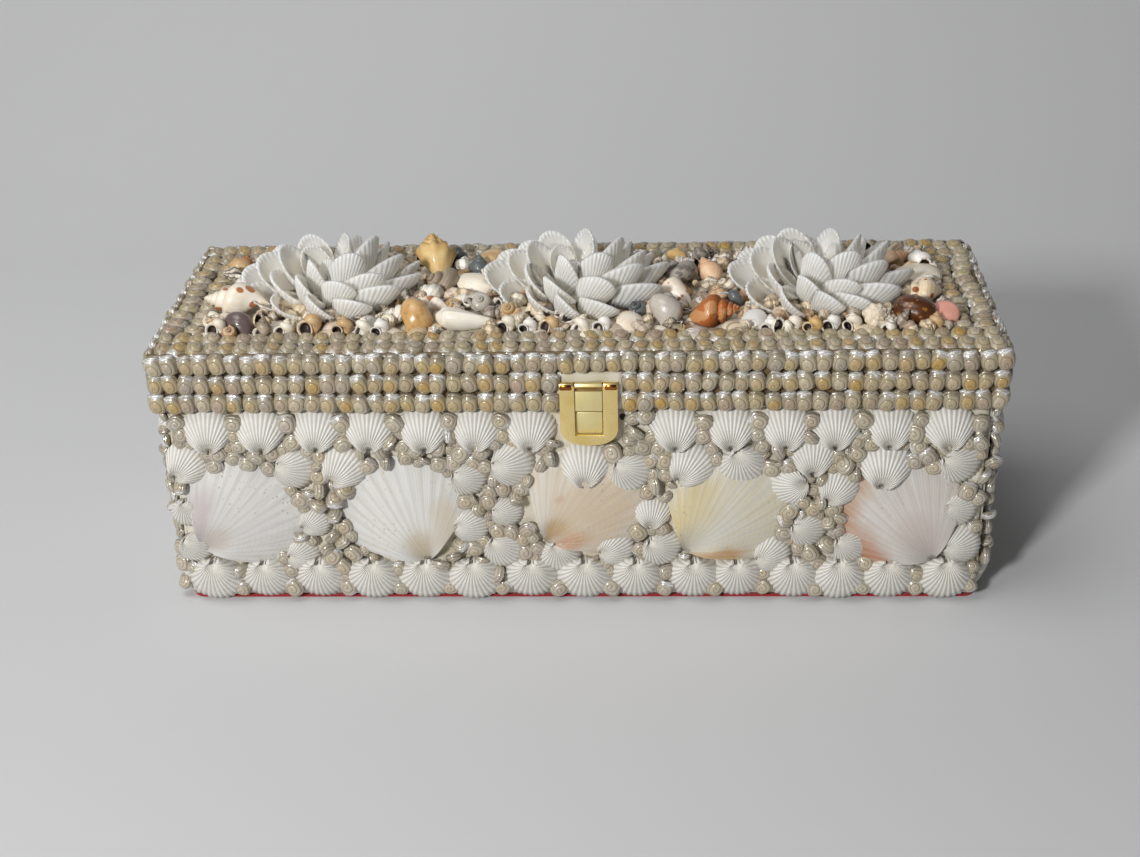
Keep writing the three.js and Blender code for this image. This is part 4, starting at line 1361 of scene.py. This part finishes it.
def petal_mesh(name):
    """An ark shell as a cup one metre long: hinge end at the origin, hollow side up, smooth inside."""
    rings, wall = 9, 0.035
    wide, deep, ridge = 0.66, 0.32, 0.02
    cup = valve(wide, 1, deep, ARK_RIBS, ridge, 2, rings, ARK_SPREAD, ark_outline, 0.5)
    lining = valve(wide, 1, deep, ARK_RIBS, 0.0, 2, rings, ARK_SPREAD, ark_outline, 0.5)
    count, columns = len(cup.points), ARK_RIBS * 2 + 1
    cup.points += [(x, y, z - wall) for x, y, z in lining.points]
    cup.faces += [[count + i for i in reversed(face)] for face in lining.faces]
    cup.coords += [[(u, v + 2) for u, v in reversed(face)] for face in lining.coords]
    rim = [(rings - 1) * columns + j for j in range(columns)]
    rim += [i * columns + columns - 1 for i in reversed(range(rings - 1))]
    rim += [rings * columns] + [i * columns for i in range(rings - 1)]
    for i, j in zip(rim, rim[1:] + rim[:1]):
        cup.faces.append([i, j, j + count, i + count])
        cup.coords.append([(0.5, 1)] * 4)
    mesh = cup.mesh(name)
    mesh.transform(Matrix.Diagonal((1, 1, -1, 1)))
    work = bmesh.new()
    work.from_mesh(mesh)
    bmesh.ops.recalc_face_normals(work, faces=work.faces)
    work.to_mesh(mesh)
    work.free()
    return mesh


class Flowers(Operator):
    """Three flowers of ark shells on the lid"""

    bl_idname = "shell_box.flowers"
    bl_label = "Flowers"

    def execute(self, context):
        # Painted light: the petals take a lighter copy of the ark finish, whiter and with weaker painted
        # groove shade, for light that their shaded cups lack.
        petals = ark_finish("Petal shell", "FFFAEE", 0.85)
        for seed, (name, x) in enumerate(FLOWER_X.items()):
            layout = Layout(60 + seed)
            for ring, (count, out, up, length, lift) in enumerate(PETAL_RINGS):
                for i in range(count):
                    self.petal(layout, 360 * i / count + ring * 23, out, up, length, lift)
            piece = set_shells(f"flower_{name}_petals", layout, [petal_mesh("petal")], petals)
            piece.data.transform(Matrix.Translation((x * MM, 0, LID_FLOOR)))
            dress(piece, "lid", "ark_shell", f"flower_{name}")
        return {"FINISHED"}

    @staticmethod
    def petal(layout, around, out, up, length, lift):
        """One petal, a little out of line."""
        stray = layout.chance.uniform
        turn = (
            Matrix.Rotation(math.radians(around + stray(-7, 7)), 4, "Z")
            @ Matrix.Translation((0, out * MM, (lift + stray(-0.5, 0.5)) * MM))
            @ Matrix.Rotation(math.radians(up + stray(-5, 5)), 4, "X")
            @ Matrix.Rotation(math.radians(FLOWER_TWIST + stray(-8, 8)), 4, "Y")
        )
        wider = 1 - 0.09 * math.cos(math.radians(2 * around))
        layout.put(turn.to_translation(), turn.to_euler(), length * wider * MM * stray(0.95, 1.05))


# How each kind of shell is built: a maker and its arguments
KINDS = {
    "moon": (coil_form, (3.2, 2.5, 0.52, 0.8, 0.5, 0.5, 0.62, 0.2, 0.95)),
    "turban": (coil_form, (4.5, 1.85, 0.5, 1.0, 0.42, 0.38, 0.42, 0.2, 0.95)),
    "whelk": (coil_form, (5.5, 1.55, 0.42, 1.35, 0.38, 0.34, 0.95, 0.75, 0.58)),
    "knobbed": (coil_form, (5, 1.55, 0.42, 1.1, 0.38, 0.34, 1.1, 0.8, 0.66, 9, 0.16)),
    "ribbed": (coil_form, (5, 1.6, 0.42, 1.25, 0.38, 0.36, 0.8, 0.6, 0.68, 12, 0.1)),
    "cone": (coil_form, (5, 1.3, 0.5, 0.4, 0.42, 0.25, 1.6, 0.85, 0.62)),
    "olive": (coil_form, (4, 1.35, 0.4, 0.7, 0.42, 0.35, 1.7, 0.4, 0.44)),
    "crown": (coil_form, (4, 1.75, 0.5, 0.55, 0.45, 0.3, 0.42, 0.3, 1.25, 8, 0.12)),
    "spire": (coil_form, (7, 1.32, 0.3, 1.9, 0.3, 0.26, 0.45, 0.3, 0.4, 12, 0.06)),
    "cowrie": (egg_form, (0.8, 0.66)),
    "cockle": (valve, (0.92, 1, 0.36, 20, 0.012, 3, 8, 80, scallop_outline, 0.6)),
    "clam": (valve, (1.1, 1, 0.26, 12, 0.0, 2, 8, 84, scallop_outline, 0.5)),
    "disc": (valve, (1.05, 1, 0.3, 9, 0.006, 3, 8, 90, scallop_outline, 0.5)),
}


def kind_mesh(name, kind, size=1.0, coarse=False):
    """A mesh of one kind of shell, that long, with few faces where it is set many times."""
    maker, values = KINDS[kind]
    if coarse and maker is valve:
        width, length, rise, ribs, ridge, _, _, *edge = values
        values = (width, length, rise, ribs, ridge, 1, 4, *edge)
    few = {"sides": 8, "steps": 6} if coarse and maker is coil_form else {}
    mesh = maker(*values, **few).mesh(name)
    if maker is valve:
        close_below(mesh, -0.04)
        mesh.transform(Matrix.Translation((0, -0.5, 0)))
    mesh.transform(Matrix.Scale(size, 4))
    return mesh


def laid_shell(name, kind, x, y, length, way, tip, roll, finish):
    """A shell laid on the lid: its tip points that way in degrees and up by tip, rolled about its length.

    Without a roll, the mouth of a coiled shell that lies flat faces up."""
    mesh = kind_mesh(name, kind, length * MM)
    if KINDS[kind][0] is coil_form:
        roll += 90 - KINDS[kind][1][0] * 360
    if KINDS[kind][0] is valve:
        turn = Euler((math.radians(tip), math.radians(roll), math.radians(way - 90)))
        mesh.transform(turn.to_matrix().to_4x4())
    else:
        mesh.transform(
            Matrix.Rotation(math.radians(way), 4, "Z")
            @ Matrix.Rotation(math.radians(90 - tip), 4, "Y")
            @ Matrix.Rotation(math.radians(roll), 4, "Z")
        )
    low = min(v.co.z for v in mesh.vertices)
    mesh.transform(Matrix.Translation((x * MM, y * MM, LID_FLOOR - low - 0.4 * MM)))
    return show(name, mesh, finish)


# Finishes of the lid's shells: ground, second and spot colours, then bands, stripes, spots, gloss, inside
SHELL_TONES = {
    "spotted": ("F0E7D8", "E3D2B5", "B0672C", (3, 0.25), (0, 0), (150, 0.95), 0.6),
    "purple": ("5C4E4C", "7A6A66", "3A302E", (1, 0.3), (0, 0), (0, 0), 0.95),
    "yellow": ("E0C68C", "C99C55", "B98A45", (2, 0.55), (0, 0), (0, 0), 0.4),
    "striped": ("B9A88F", "7C6D5C", "4E4239", (2, 0.6), (0, 0), (0, 0), 0.5),
    "cream": ("F1E9DA", "E2D2B2", "C7A678", (0, 0), (0, 0), (0, 0), 0.4),
    "orange": ("C69A60", "D9B47C", "9C6A34", (2, 0.4), (0, 0), (300, 0.35), 0.85),
    "olive": ("F3EDE1", "E0D2B8", "8E5A34", (1, 0.2), (0, 0), (0, 0), 0.9),
    "grey": ("C6BFB4", "B2A89B", "8B8178", (1, 0.3), (0, 0), (0, 0), 0.85),
    "rust": ("B5682F", "8E4620", "DDB07C", (0, 0), (16, 0.5), (0, 0), 0.6),
    "cone": ("F1E8DC", "E2CDAE", "B0743C", (0, 0), (0, 0), (330, 0.9), 0.6),
    "mottled": ("A39B90", "6F675E", "3F3A36", (0, 0), (22, 0.5), (300, 0.6), 0.4),
    "peach": ("EBCBAA", "D5A277", "B8733F", (3, 0.5), (0, 0), (0, 0), 0.5),
    "white": ("F2EFE9", "E3DCCF", "CFC3AE", (0, 0), (0, 0), (0, 0), 0.4),
    "crown": ("F0E6D6", "D8C3A2", "B59A74", (2, 0.3), (0, 0), (0, 0), 0.5),
    "brown": ("5A3216", "341A0C", "C48A3E", (0, 0), (0, 0), (420, 0.45), 1.0),
    "tiled": ("F0E2C8", "DDBF90", "9A5220", (2, 0.25), (0, 0), (240, 1.0), 0.6),
    "clam": ("EFE6D6", "E2C49C", "D09A62", (0, 0), (0, 0), (0, 0), 0.5),
    "tan": ("D6B88C", "B78E5B", "8D6437", (2, 0.5), (0, 0), (0, 0), 0.5),
    "slate": ("6B6F70", "4B4E50", "8A8C88", (1, 0.4), (0, 0), (0, 0), 0.8),
    "salmon": ("E5A795", "D98F7E", "F0C9BB", (0, 0), (0, 0), (0, 0), 0.6),
    "zebra": ("E9E2D4", "C9BBA2", "3B332D", (0, 0), (34, 0.8), (0, 0), 0.5),
}

# Large shells of the lid: kind, x, y, length, way of the tip, its rise, roll and finish
LARGE_SHELLS = {
    "spotted_whelk_shell": ("whelk", -152, -17, 31, 170, 4, 160, "spotted"),
    "purple_moon_shell": ("moon", -147.8, -34.5, 14.5, 95, 25, 175, "purple"),
    "yellow_whelk_shell": ("knobbed", -67, 28, 29, 100, 35, 170, "yellow"),
    "striped_turban_shell": ("turban", -62, 8, 18, 200, 35, 170, "striped"),
    "cream_cockle_shell": ("cockle", -47, 7, 19, 150, 20, 0, "cream"),
    "orange_moon_shell": ("moon", -70.5, -31, 18.5, 50, 25, 190, "orange"),
    "white_olive_shell": ("olive", -48, -34, 27, 175, 4, 60, "olive"),
    "grey_moon_shell": ("moon", 39.5, -29.5, 18, 60, 45, 170, "grey"),
    "rust_turban_shell": ("ribbed", 60, -28.5, 24, -8, 12, 205, "rust"),
    "spotted_cone_shell": ("cone", 46, -6, 19, 130, 15, 160, "cone"),
    "mottled_turban_shell": ("turban", 46, 14.5, 19, 160, 35, 170, "mottled"),
    "peach_whelk_shell": ("whelk", 60, 19.5, 21, 105, 20, 170, "peach"),
    "white_disc_shell": ("crown", 131.5, -34, 12, -75, 42, 20, "crown"),
    "brown_cowrie_shell": ("cowrie", 147.5, -30, 19, 160, 6, 0, "brown"),
    "tiled_whelk_shell": ("ribbed", 154, -9, 22, 190, 10, 170, "tiled"),
    "cream_clam_shell": ("clam", 154, 13, 22, 40, 15, 0, "clam"),
}
# Named smaller shells of the lid, in the same order
SMALL_SHELLS = [
    ("moon", -161.5, -27.7, 9.5, 240, 40, 110, "cream"), ("moon", -157.5, -39, 10, 102, 48, 4, "cream"),
    ("ribbed", -136.8, -40.5, 13, 89, 41, -17, "striped"),
    ("turban", -126.9, -39.6, 10, 76, 54, 12, "cream"),
    ("moon", -116, -39, 12, 113, 47, -9, "tan"), ("turban", -101.8, -39.5, 11, 100, 40, 20, "tan"),
    ("cockle", -91, -30.6, 9, 110, 30, 0, "white"), ("turban", -92.9, -39.2, 10, 74, 46, -22, "cream"),
    ("turban", -85.2, -40, 10, 111, 39, 7, "white"), ("ribbed", -160.4, 20.3, 15, 200, 15, 20, "zebra"),
    ("moon", -161, 31, 11, 120, 50, 150, "tan"), ("turban", -160, 39, 9, 90, 40, 150, "rust"),
    ("whelk", -63.8, -15.9, 17, 160, 15, 80, "spotted"), ("turban", -56, -14.2, 10, 230, 40, 150, "tan"),
    ("moon", -43.8, -17.4, 13, 270, 60, 150, "grey"), ("turban", -29.1, -24.3, 11, 260, 50, 20, "tan"),
    ("moon", -30.1, -38.5, 10, 107, 43, -11, "cream"), ("turban", -20.6, -38.8, 9.5, 94, 36, 18, "white"),
    ("moon", -11.5, -38.5, 10, 81, 49, -3, "tan"), ("turban", 2.4, -38.8, 10, 68, 42, -24, "cream"),
    ("moon", 11.7, -38.8, 9.5, 105, 35, 5, "white"), ("cockle", -62, 22, 11, 140, 30, 0, "white"),
    ("ribbed", -54, 21.1, 11, 60, 20, 150, "tan"), ("turban", -47, 27, 13, 90, 50, 150, "slate"),
    ("turban", -58.9, 39, 11, 100, 50, 20, "slate"), ("clam", -42, 40, 14, 60, 25, 0, "tan"),
    ("disc", -38.8, 9.9, 9, 90, 25, 0, "white"), ("cockle", 24.3, -36, 14, 110, 28, 0, "clam"),
    ("turban", 27, -21.2, 11, 230, 60, 150, "slate"), ("moon", 45.4, 35, 12, 80, 50, 150, "yellow"),
    ("moon", 68, -15, 12, 40, 60, 20, "slate"), ("cockle", 78, -34, 13, 80, 30, 0, "white"),
    ("turban", 84, -39.5, 9.5, 99, 51, 3, "white"), ("moon", 93.8, -39.5, 9.5, 86, 44, -18, "cream"),
    ("turban", 102.7, -39.6, 9.5, 73, 37, 11, "yellow"), ("moon", 110.6, -39.8, 9.5, 110, 50, -10, "white"),
    ("turban", 119.3, -38, 10, 97, 43, 19, "cream"), ("clam", 160, -29.5, 13, 60, 38, 0, "salmon"),
    ("turban", 155, -38, 9.5, 71, 49, -23, "tan"), ("turban", 55, 34, 12, 120, 45, 20, "mottled"),
    ("whelk", 146, 32, 18, 30, 15, 150, "peach"), ("moon", 158, 30, 12, 100, 50, 150, "white"),
]


class LidShells(Operator):
    """Whelks, moon shells, turbans and other shells between the flowers"""

    bl_idname = "shell_box.lid_shells"
    bl_label = "Shells of the lid"

    def execute(self, context):
        finishes = {name: coil_finish("Shell " + name, *values) for name, values in SHELL_TONES.items()}
        for name, (kind, x, y, length, way, tip, roll, tone) in LARGE_SHELLS.items():
            piece = laid_shell(name + "_visual", kind, x, y, length, way, tip, roll, finishes[tone])
            dress(piece, "lid", name, name)
        small = []
        for i, (kind, x, y, length, way, tip, roll, tone) in enumerate(SMALL_SHELLS):
            small.append(laid_shell(f"small_{i:02d}", kind, x, y, length, way, tip, roll, finishes[tone]))
        piece = blend_pieces("named_small_shells", small)
        dress(piece, "lid", "small_shells", "panel_bed")
        dress(self.fill(), "lid", "small_shells")
        return {"FINISHED"}

    @staticmethod
    def fill():
        """Small mixed shells wherever the larger ones and the flowers leave the lid bare."""
        layout = Layout(90)
        chance = layout.chance
        kinds = ("moon", "turban", "ribbed", "cockle", "spire", "clam")
        named = [(row[1], row[2], row[3] * 0.4) for row in [*LARGE_SHELLS.values(), *SMALL_SHELLS]]
        named += [(x, 0, 17) for x in FLOWER_X.values()]
        for _ in range(5000):
            x, y = chance.uniform(-163, 163), chance.uniform(-43, 43)
            size = chance.uniform(8, 12.5)
            if any(math.hypot(x - nx, y - ny) < room + size * 0.12 for nx, ny, room in named):
                continue
            named.append((x, y, size * 0.36))
            pick = chance.randrange(len(kinds))
            flat = kinds[pick] in ("cockle", "clam")
            tip = chance.uniform(0, 0.5) if flat else chance.uniform(0.5, 1.5)
            turn = Euler((tip, 0, chance.uniform(0, TAU)))
            height = LID_FLOOR + size * (0.02 if flat else 0.34) * MM
            layout.put((x * MM, y * MM, height), turn, size * MM, pick)
        templates = [kind_mesh(kind, kind, coarse=True) for kind in kinds]
        return set_shells("small_lid_shells", layout, templates, small_finish())


class Boards(Operator):
    """Finishes of the boards, felt and linings"""

    bl_idname = "shell_box.boards"
    bl_label = "Boards and felt"

    def execute(self, context):
        finishes = {
            "box_boards": board_finish(), "lid_boards": board_finish(), "felt_cover": felt_finish(),
            "box_lining": felt_finish(), "lid_lining": felt_finish(),
        }
        for name, finish in finishes.items():
            frame["nodes"][name].data.materials.clear()
            frame["nodes"][name].data.materials.append(finish)
        mesh = plaster_bed("panel_plaster", tuple(PANEL_LOW)[:2], tuple(PANEL_HIGH)[:2])
        bed = show("panel_plaster", mesh, plaster_finish())
        bed.data.transform(Matrix.Translation((0, 0, LID_HIGH.z + GAP)))
        dress(bed, "lid", "small_shells")
        return {"FINISHED"}


def rounded(name, width, finish):
    """A copy of a solid with its sharp edges rounded, which stands for it."""
    node = frame["nodes"][name]
    mesh = node.data.copy()
    mesh.transform(node.matrix_world)
    work = bmesh.new()
    work.from_mesh(mesh)
    bmesh.ops.remove_doubles(work, verts=work.verts, dist=0.001 * MM)
    bmesh.ops.dissolve_limit(work, angle_limit=0.03, verts=work.verts, edges=work.edges)
    work.to_mesh(mesh)
    work.free()
    piece = show(name + "_metal", mesh, finish)
    bevel = piece.modifiers.new("rounding", "BEVEL")
    bevel.width = width
    bevel.segments = 3
    bevel.limit_method = "ANGLE"
    bevel.angle_limit = math.radians(40)
    settle(piece)
    piece.data.shade_smooth()
    piece.data.set_sharp_from_angle(angle=math.radians(35))
    return piece


def barrel(name, middle, length, radius, finish):
    """A round bar along X with rounded ends."""
    sides, soft = 20, radius * 0.25
    half = length / 2
    line = [(-half, radius - soft), (-half + soft, radius), (half - soft, radius), (half, radius - soft)]
    turn = [TAU * j / sides for j in range(sides)]
    rows = [[(x, r * math.cos(a), r * math.sin(a)) for a in turn] for x, r in line]
    form = Form()
    start = form.grid(rows, wrap=True, flip=True)
    form.cap(start, sides, (-half, 0, 0))
    form.cap(start + sides * 3, sides, (half, 0, 0), flip=True)
    mesh = form.mesh(name)
    mesh.transform(Matrix.Translation(middle))
    return show(name, mesh, finish)


class Metalwork(Operator):
    """Gold latch and brass hinges with rounded edges"""

    bl_idname = "shell_box.metalwork"
    bl_label = "Latch and hinges"

    def execute(self, context):
        gold = metal_finish("Gold plate", colour("F6DD96"), colour("E2BF6C"), 0.24, 0.4, 0.85)
        satin = metal_finish("Satin gold", colour("EADCA2"), colour("D9C684"), 0.4, 0.4, 0.75)
        # Painted shade: the knuckles take a darker, brownish copy of the gold for the shade on them.
        knuckle_shade_gold = metal_finish("Gold darkened for shade", colour("A86A30"), colour("4E2812"), 0.2, 0.9, 1.0)
        brass = metal_finish("Hinge brass", colour("C9A45A"), colour("7C5D28"), 0.3, 0.8, 1.0)
        for name, node in frame["nodes"].items():
            if name.startswith(("latch", "hinge")):
                latch = name.startswith("latch")
                width = 0.8 * MM if name == "latch_frame" else 0.25 * MM
                piece = rounded(name, width, gold if name == "latch_frame" else satin if latch else brass)
                dress(piece, self.body_of(name), "latch_gold" if latch else "hinge_brass", name)
        low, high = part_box("latch_frame")
        middle = (low.x + high.x) / 2
        self.plaster(middle)
        top = high.z - 2.1 * MM
        bar = metal_finish("Shaded gold", colour("C99A4C"), colour("8E5F28"), 0.25, 0.8, 1.0)
        length, radius = 12.6 * MM, 1.7 * MM
        piece = barrel("latch_bar", (middle, low.y + 1.9 * MM, top + 0.2 * MM), length, radius, bar)
        dress(piece, "lid", "latch_gold")
        aside, length, radius = 9.7 * MM, 5.4 * MM, 1.9 * MM
        for name, side in (("left", -1), ("right", 1)):
            place = (middle + side * aside, low.y + 1.7 * MM, top)
            knuckle = barrel(f"latch_knuckle_{name}", place, length, radius, knuckle_shade_gold)
            dress(knuckle, "latch", "latch_gold")
        return {"FINISHED"}

    @staticmethod
    def plaster(middle):
        """Plaster on the lid behind the latch, and the dark nail hole beside it on the box: a low dark dome,
        painted shade standing in for the hole.
        """
        half_wide, foot, top = 14.6 * MM, LID_LOW.z + 0.4 * MM, 115.5 * MM
        mesh = plaster_bed("latch_plaster", (middle - half_wide, foot), (middle + half_wide, top))
        mesh.transform(face_matrix(0, face_distance("front", LID_HIGH)))
        dress(show("latch_plaster", mesh, plaster_finish()), "lid", "small_shells")
        # Painted shade: a dark dome stands in for the shadow inside the nail hole.
        f = Finish("Nail hole")
        tone = f.mix(f.noise(f.place(), 900), colour("0E0B09"), colour("2A2019"))
        dark = f.surface(Base_Color=tone, Roughness=0.6)
        mesh = button_form(2.6 * MM, 0.5 * MM, 1.15, 0).mesh("nail_hole")
        mesh.transform(Matrix.Translation((NAIL_HOLE[0] * MM, NAIL_HOLE[1] * MM, BED + 0.3 * MM)))
        mesh.transform(face_matrix(0, face_distance("front", BOX_HIGH)))
        dress(show("nail_hole", mesh, dark), "box", "ark_shell")

    @staticmethod
    def body_of(name):
        """Name of the body that a solid belongs to."""
        if name == "latch_frame":
            return "latch"
        return "lid" if name == "latch_plate" or name.endswith("lid_leaf") else "box"


class Stage(Operator):
    """Floor, backdrop, lights and camera"""

    bl_idname = "shell_box.stage"
    bl_label = "Stage"

    def execute(self, context):
        s = sizes().stage
        self.camera(s)
        self.sweep(s)
        self.lamp("Key", (-0.68, -1.35, 0.82), 0.2, s.key)
        self.lamp("Top", (-0.45, -0.2, 1.3), 0.8, s.top)
        world = bpy.data.worlds.new("Studio")
        bpy.context.scene.world = world
        world.use_nodes = True
        world.node_tree.nodes["Background"].inputs[0].default_value = (0.96, 0.97, 1.0, 1)
        world.node_tree.nodes["Background"].inputs[1].default_value = 0.07
        bpy.context.scene.view_settings.view_transform = "Standard"
        return {"FINISHED"}

    @staticmethod
    def camera(s):
        """The camera, from its yaw, pitch and roll."""
        back = Vector((
            math.sin(s.yaw) * math.cos(s.pitch), -math.cos(s.yaw) * math.cos(s.pitch), math.sin(s.pitch),
        ))
        level = Vector((math.cos(s.yaw), math.sin(s.yaw), 0))
        upright = back.cross(level)
        right = math.cos(s.roll) * level + math.sin(s.roll) * upright
        up = -math.sin(s.roll) * level + math.cos(s.roll) * upright
        camera = bpy.data.objects.new("Camera", bpy.data.cameras.new("Camera"))
        bpy.context.scene.collection.objects.link(camera)
        camera.data.lens = s.lens
        camera.data.sensor_fit = "HORIZONTAL"
        camera.matrix_world = Matrix.Translation(s.place) @ Matrix((right, up, back)).transposed().to_4x4()
        bpy.context.scene.camera = camera

    @staticmethod
    def sweep(s):
        """A floor that curves up into a backdrop, painted lighter towards the back: painted light."""
        far, bend, top = 0.35, 0.8, 2.2
        line = [(-2.5, 0)]
        line += [(far + bend * math.sin(a), bend * (1 - math.cos(a))) for a in spaced(0, math.pi / 2, 12)]
        line.append((far + bend, top))
        rows = [[(-3.5, y, z) for y, z in line], [(3.5, y, z) for y, z in line]]
        form = Form()
        form.grid(rows, flip=True)
        f = Finish("Floor")
        place = f.place()
        # Painted light: the floor and backdrop grow lighter towards the back.
        far_painted_light = f.steps(f.split(place)[1], -0.2, 0.5)
        tone = f.mix(far_painted_light, (*s.floor, 1), colour("DEDEDE"))
        tone = f.mix(f.noise(place, 3, 2) * 0.15, tone, colour("C6C8CC"))
        piece = show("floor", form.mesh("floor"), f.surface(Base_Color=tone, Roughness=0.75))

    @staticmethod
    def lamp(name, place, size, power):
        """A square soft light that looks at the box."""
        light = bpy.data.lights.new(name, "AREA")
        light.energy = power
        light.size = size
        lamp = bpy.data.objects.new(name, light)
        lamp.location = place
        lamp.rotation_mode = "QUATERNION"
        lamp.rotation_quaternion = (Vector(place) - Vector((0, 0, 0.06))).to_track_quat("Z", "Y")
        bpy.context.scene.collection.objects.link(lamp)


class ShellBoxPanel(Panel):
    """The shell box's sizes and makers"""

    bl_idname = "VIEW3D_PT_shell_box"
    bl_label = "Shell box"
    bl_space_type = "VIEW_3D"
    bl_region_type = "UI"
    bl_category = "Shell box"

    def draw(self, context):
        for group in ("buttons", "valves", "stage"):
            values = getattr(context.scene.shell_box, group)
            box = self.layout.box()
            for name in values.__annotations__:
                box.prop(values, name)
        for maker in MAKERS:
            self.layout.operator(maker.bl_idname)


MAKERS = (Stage, Boards, ShellFaces, Scallops, ButtonRows, Flowers, LidShells, Metalwork)
CLASSES = (ButtonSizes, ValveSizes, StageSizes, ShellBoxSizes, *MAKERS, ShellBoxPanel)


def register():
    """Adds the classes and the scene's sizes."""
    for item in CLASSES:
        bpy.utils.register_class(item)
    bpy.types.Scene.shell_box = PointerProperty(type=ShellBoxSizes)


def unregister():
    """Removes the scene's sizes and the classes."""
    del bpy.types.Scene.shell_box
    for item in reversed(CLASSES):
        bpy.utils.unregister_class(item)


def main():
    """Makes every piece."""
    register()
    for maker in MAKERS:
        group, name = maker.bl_idname.split(".")
        getattr(getattr(bpy.ops, group), name)()


if __name__ == "__main__":
    main()
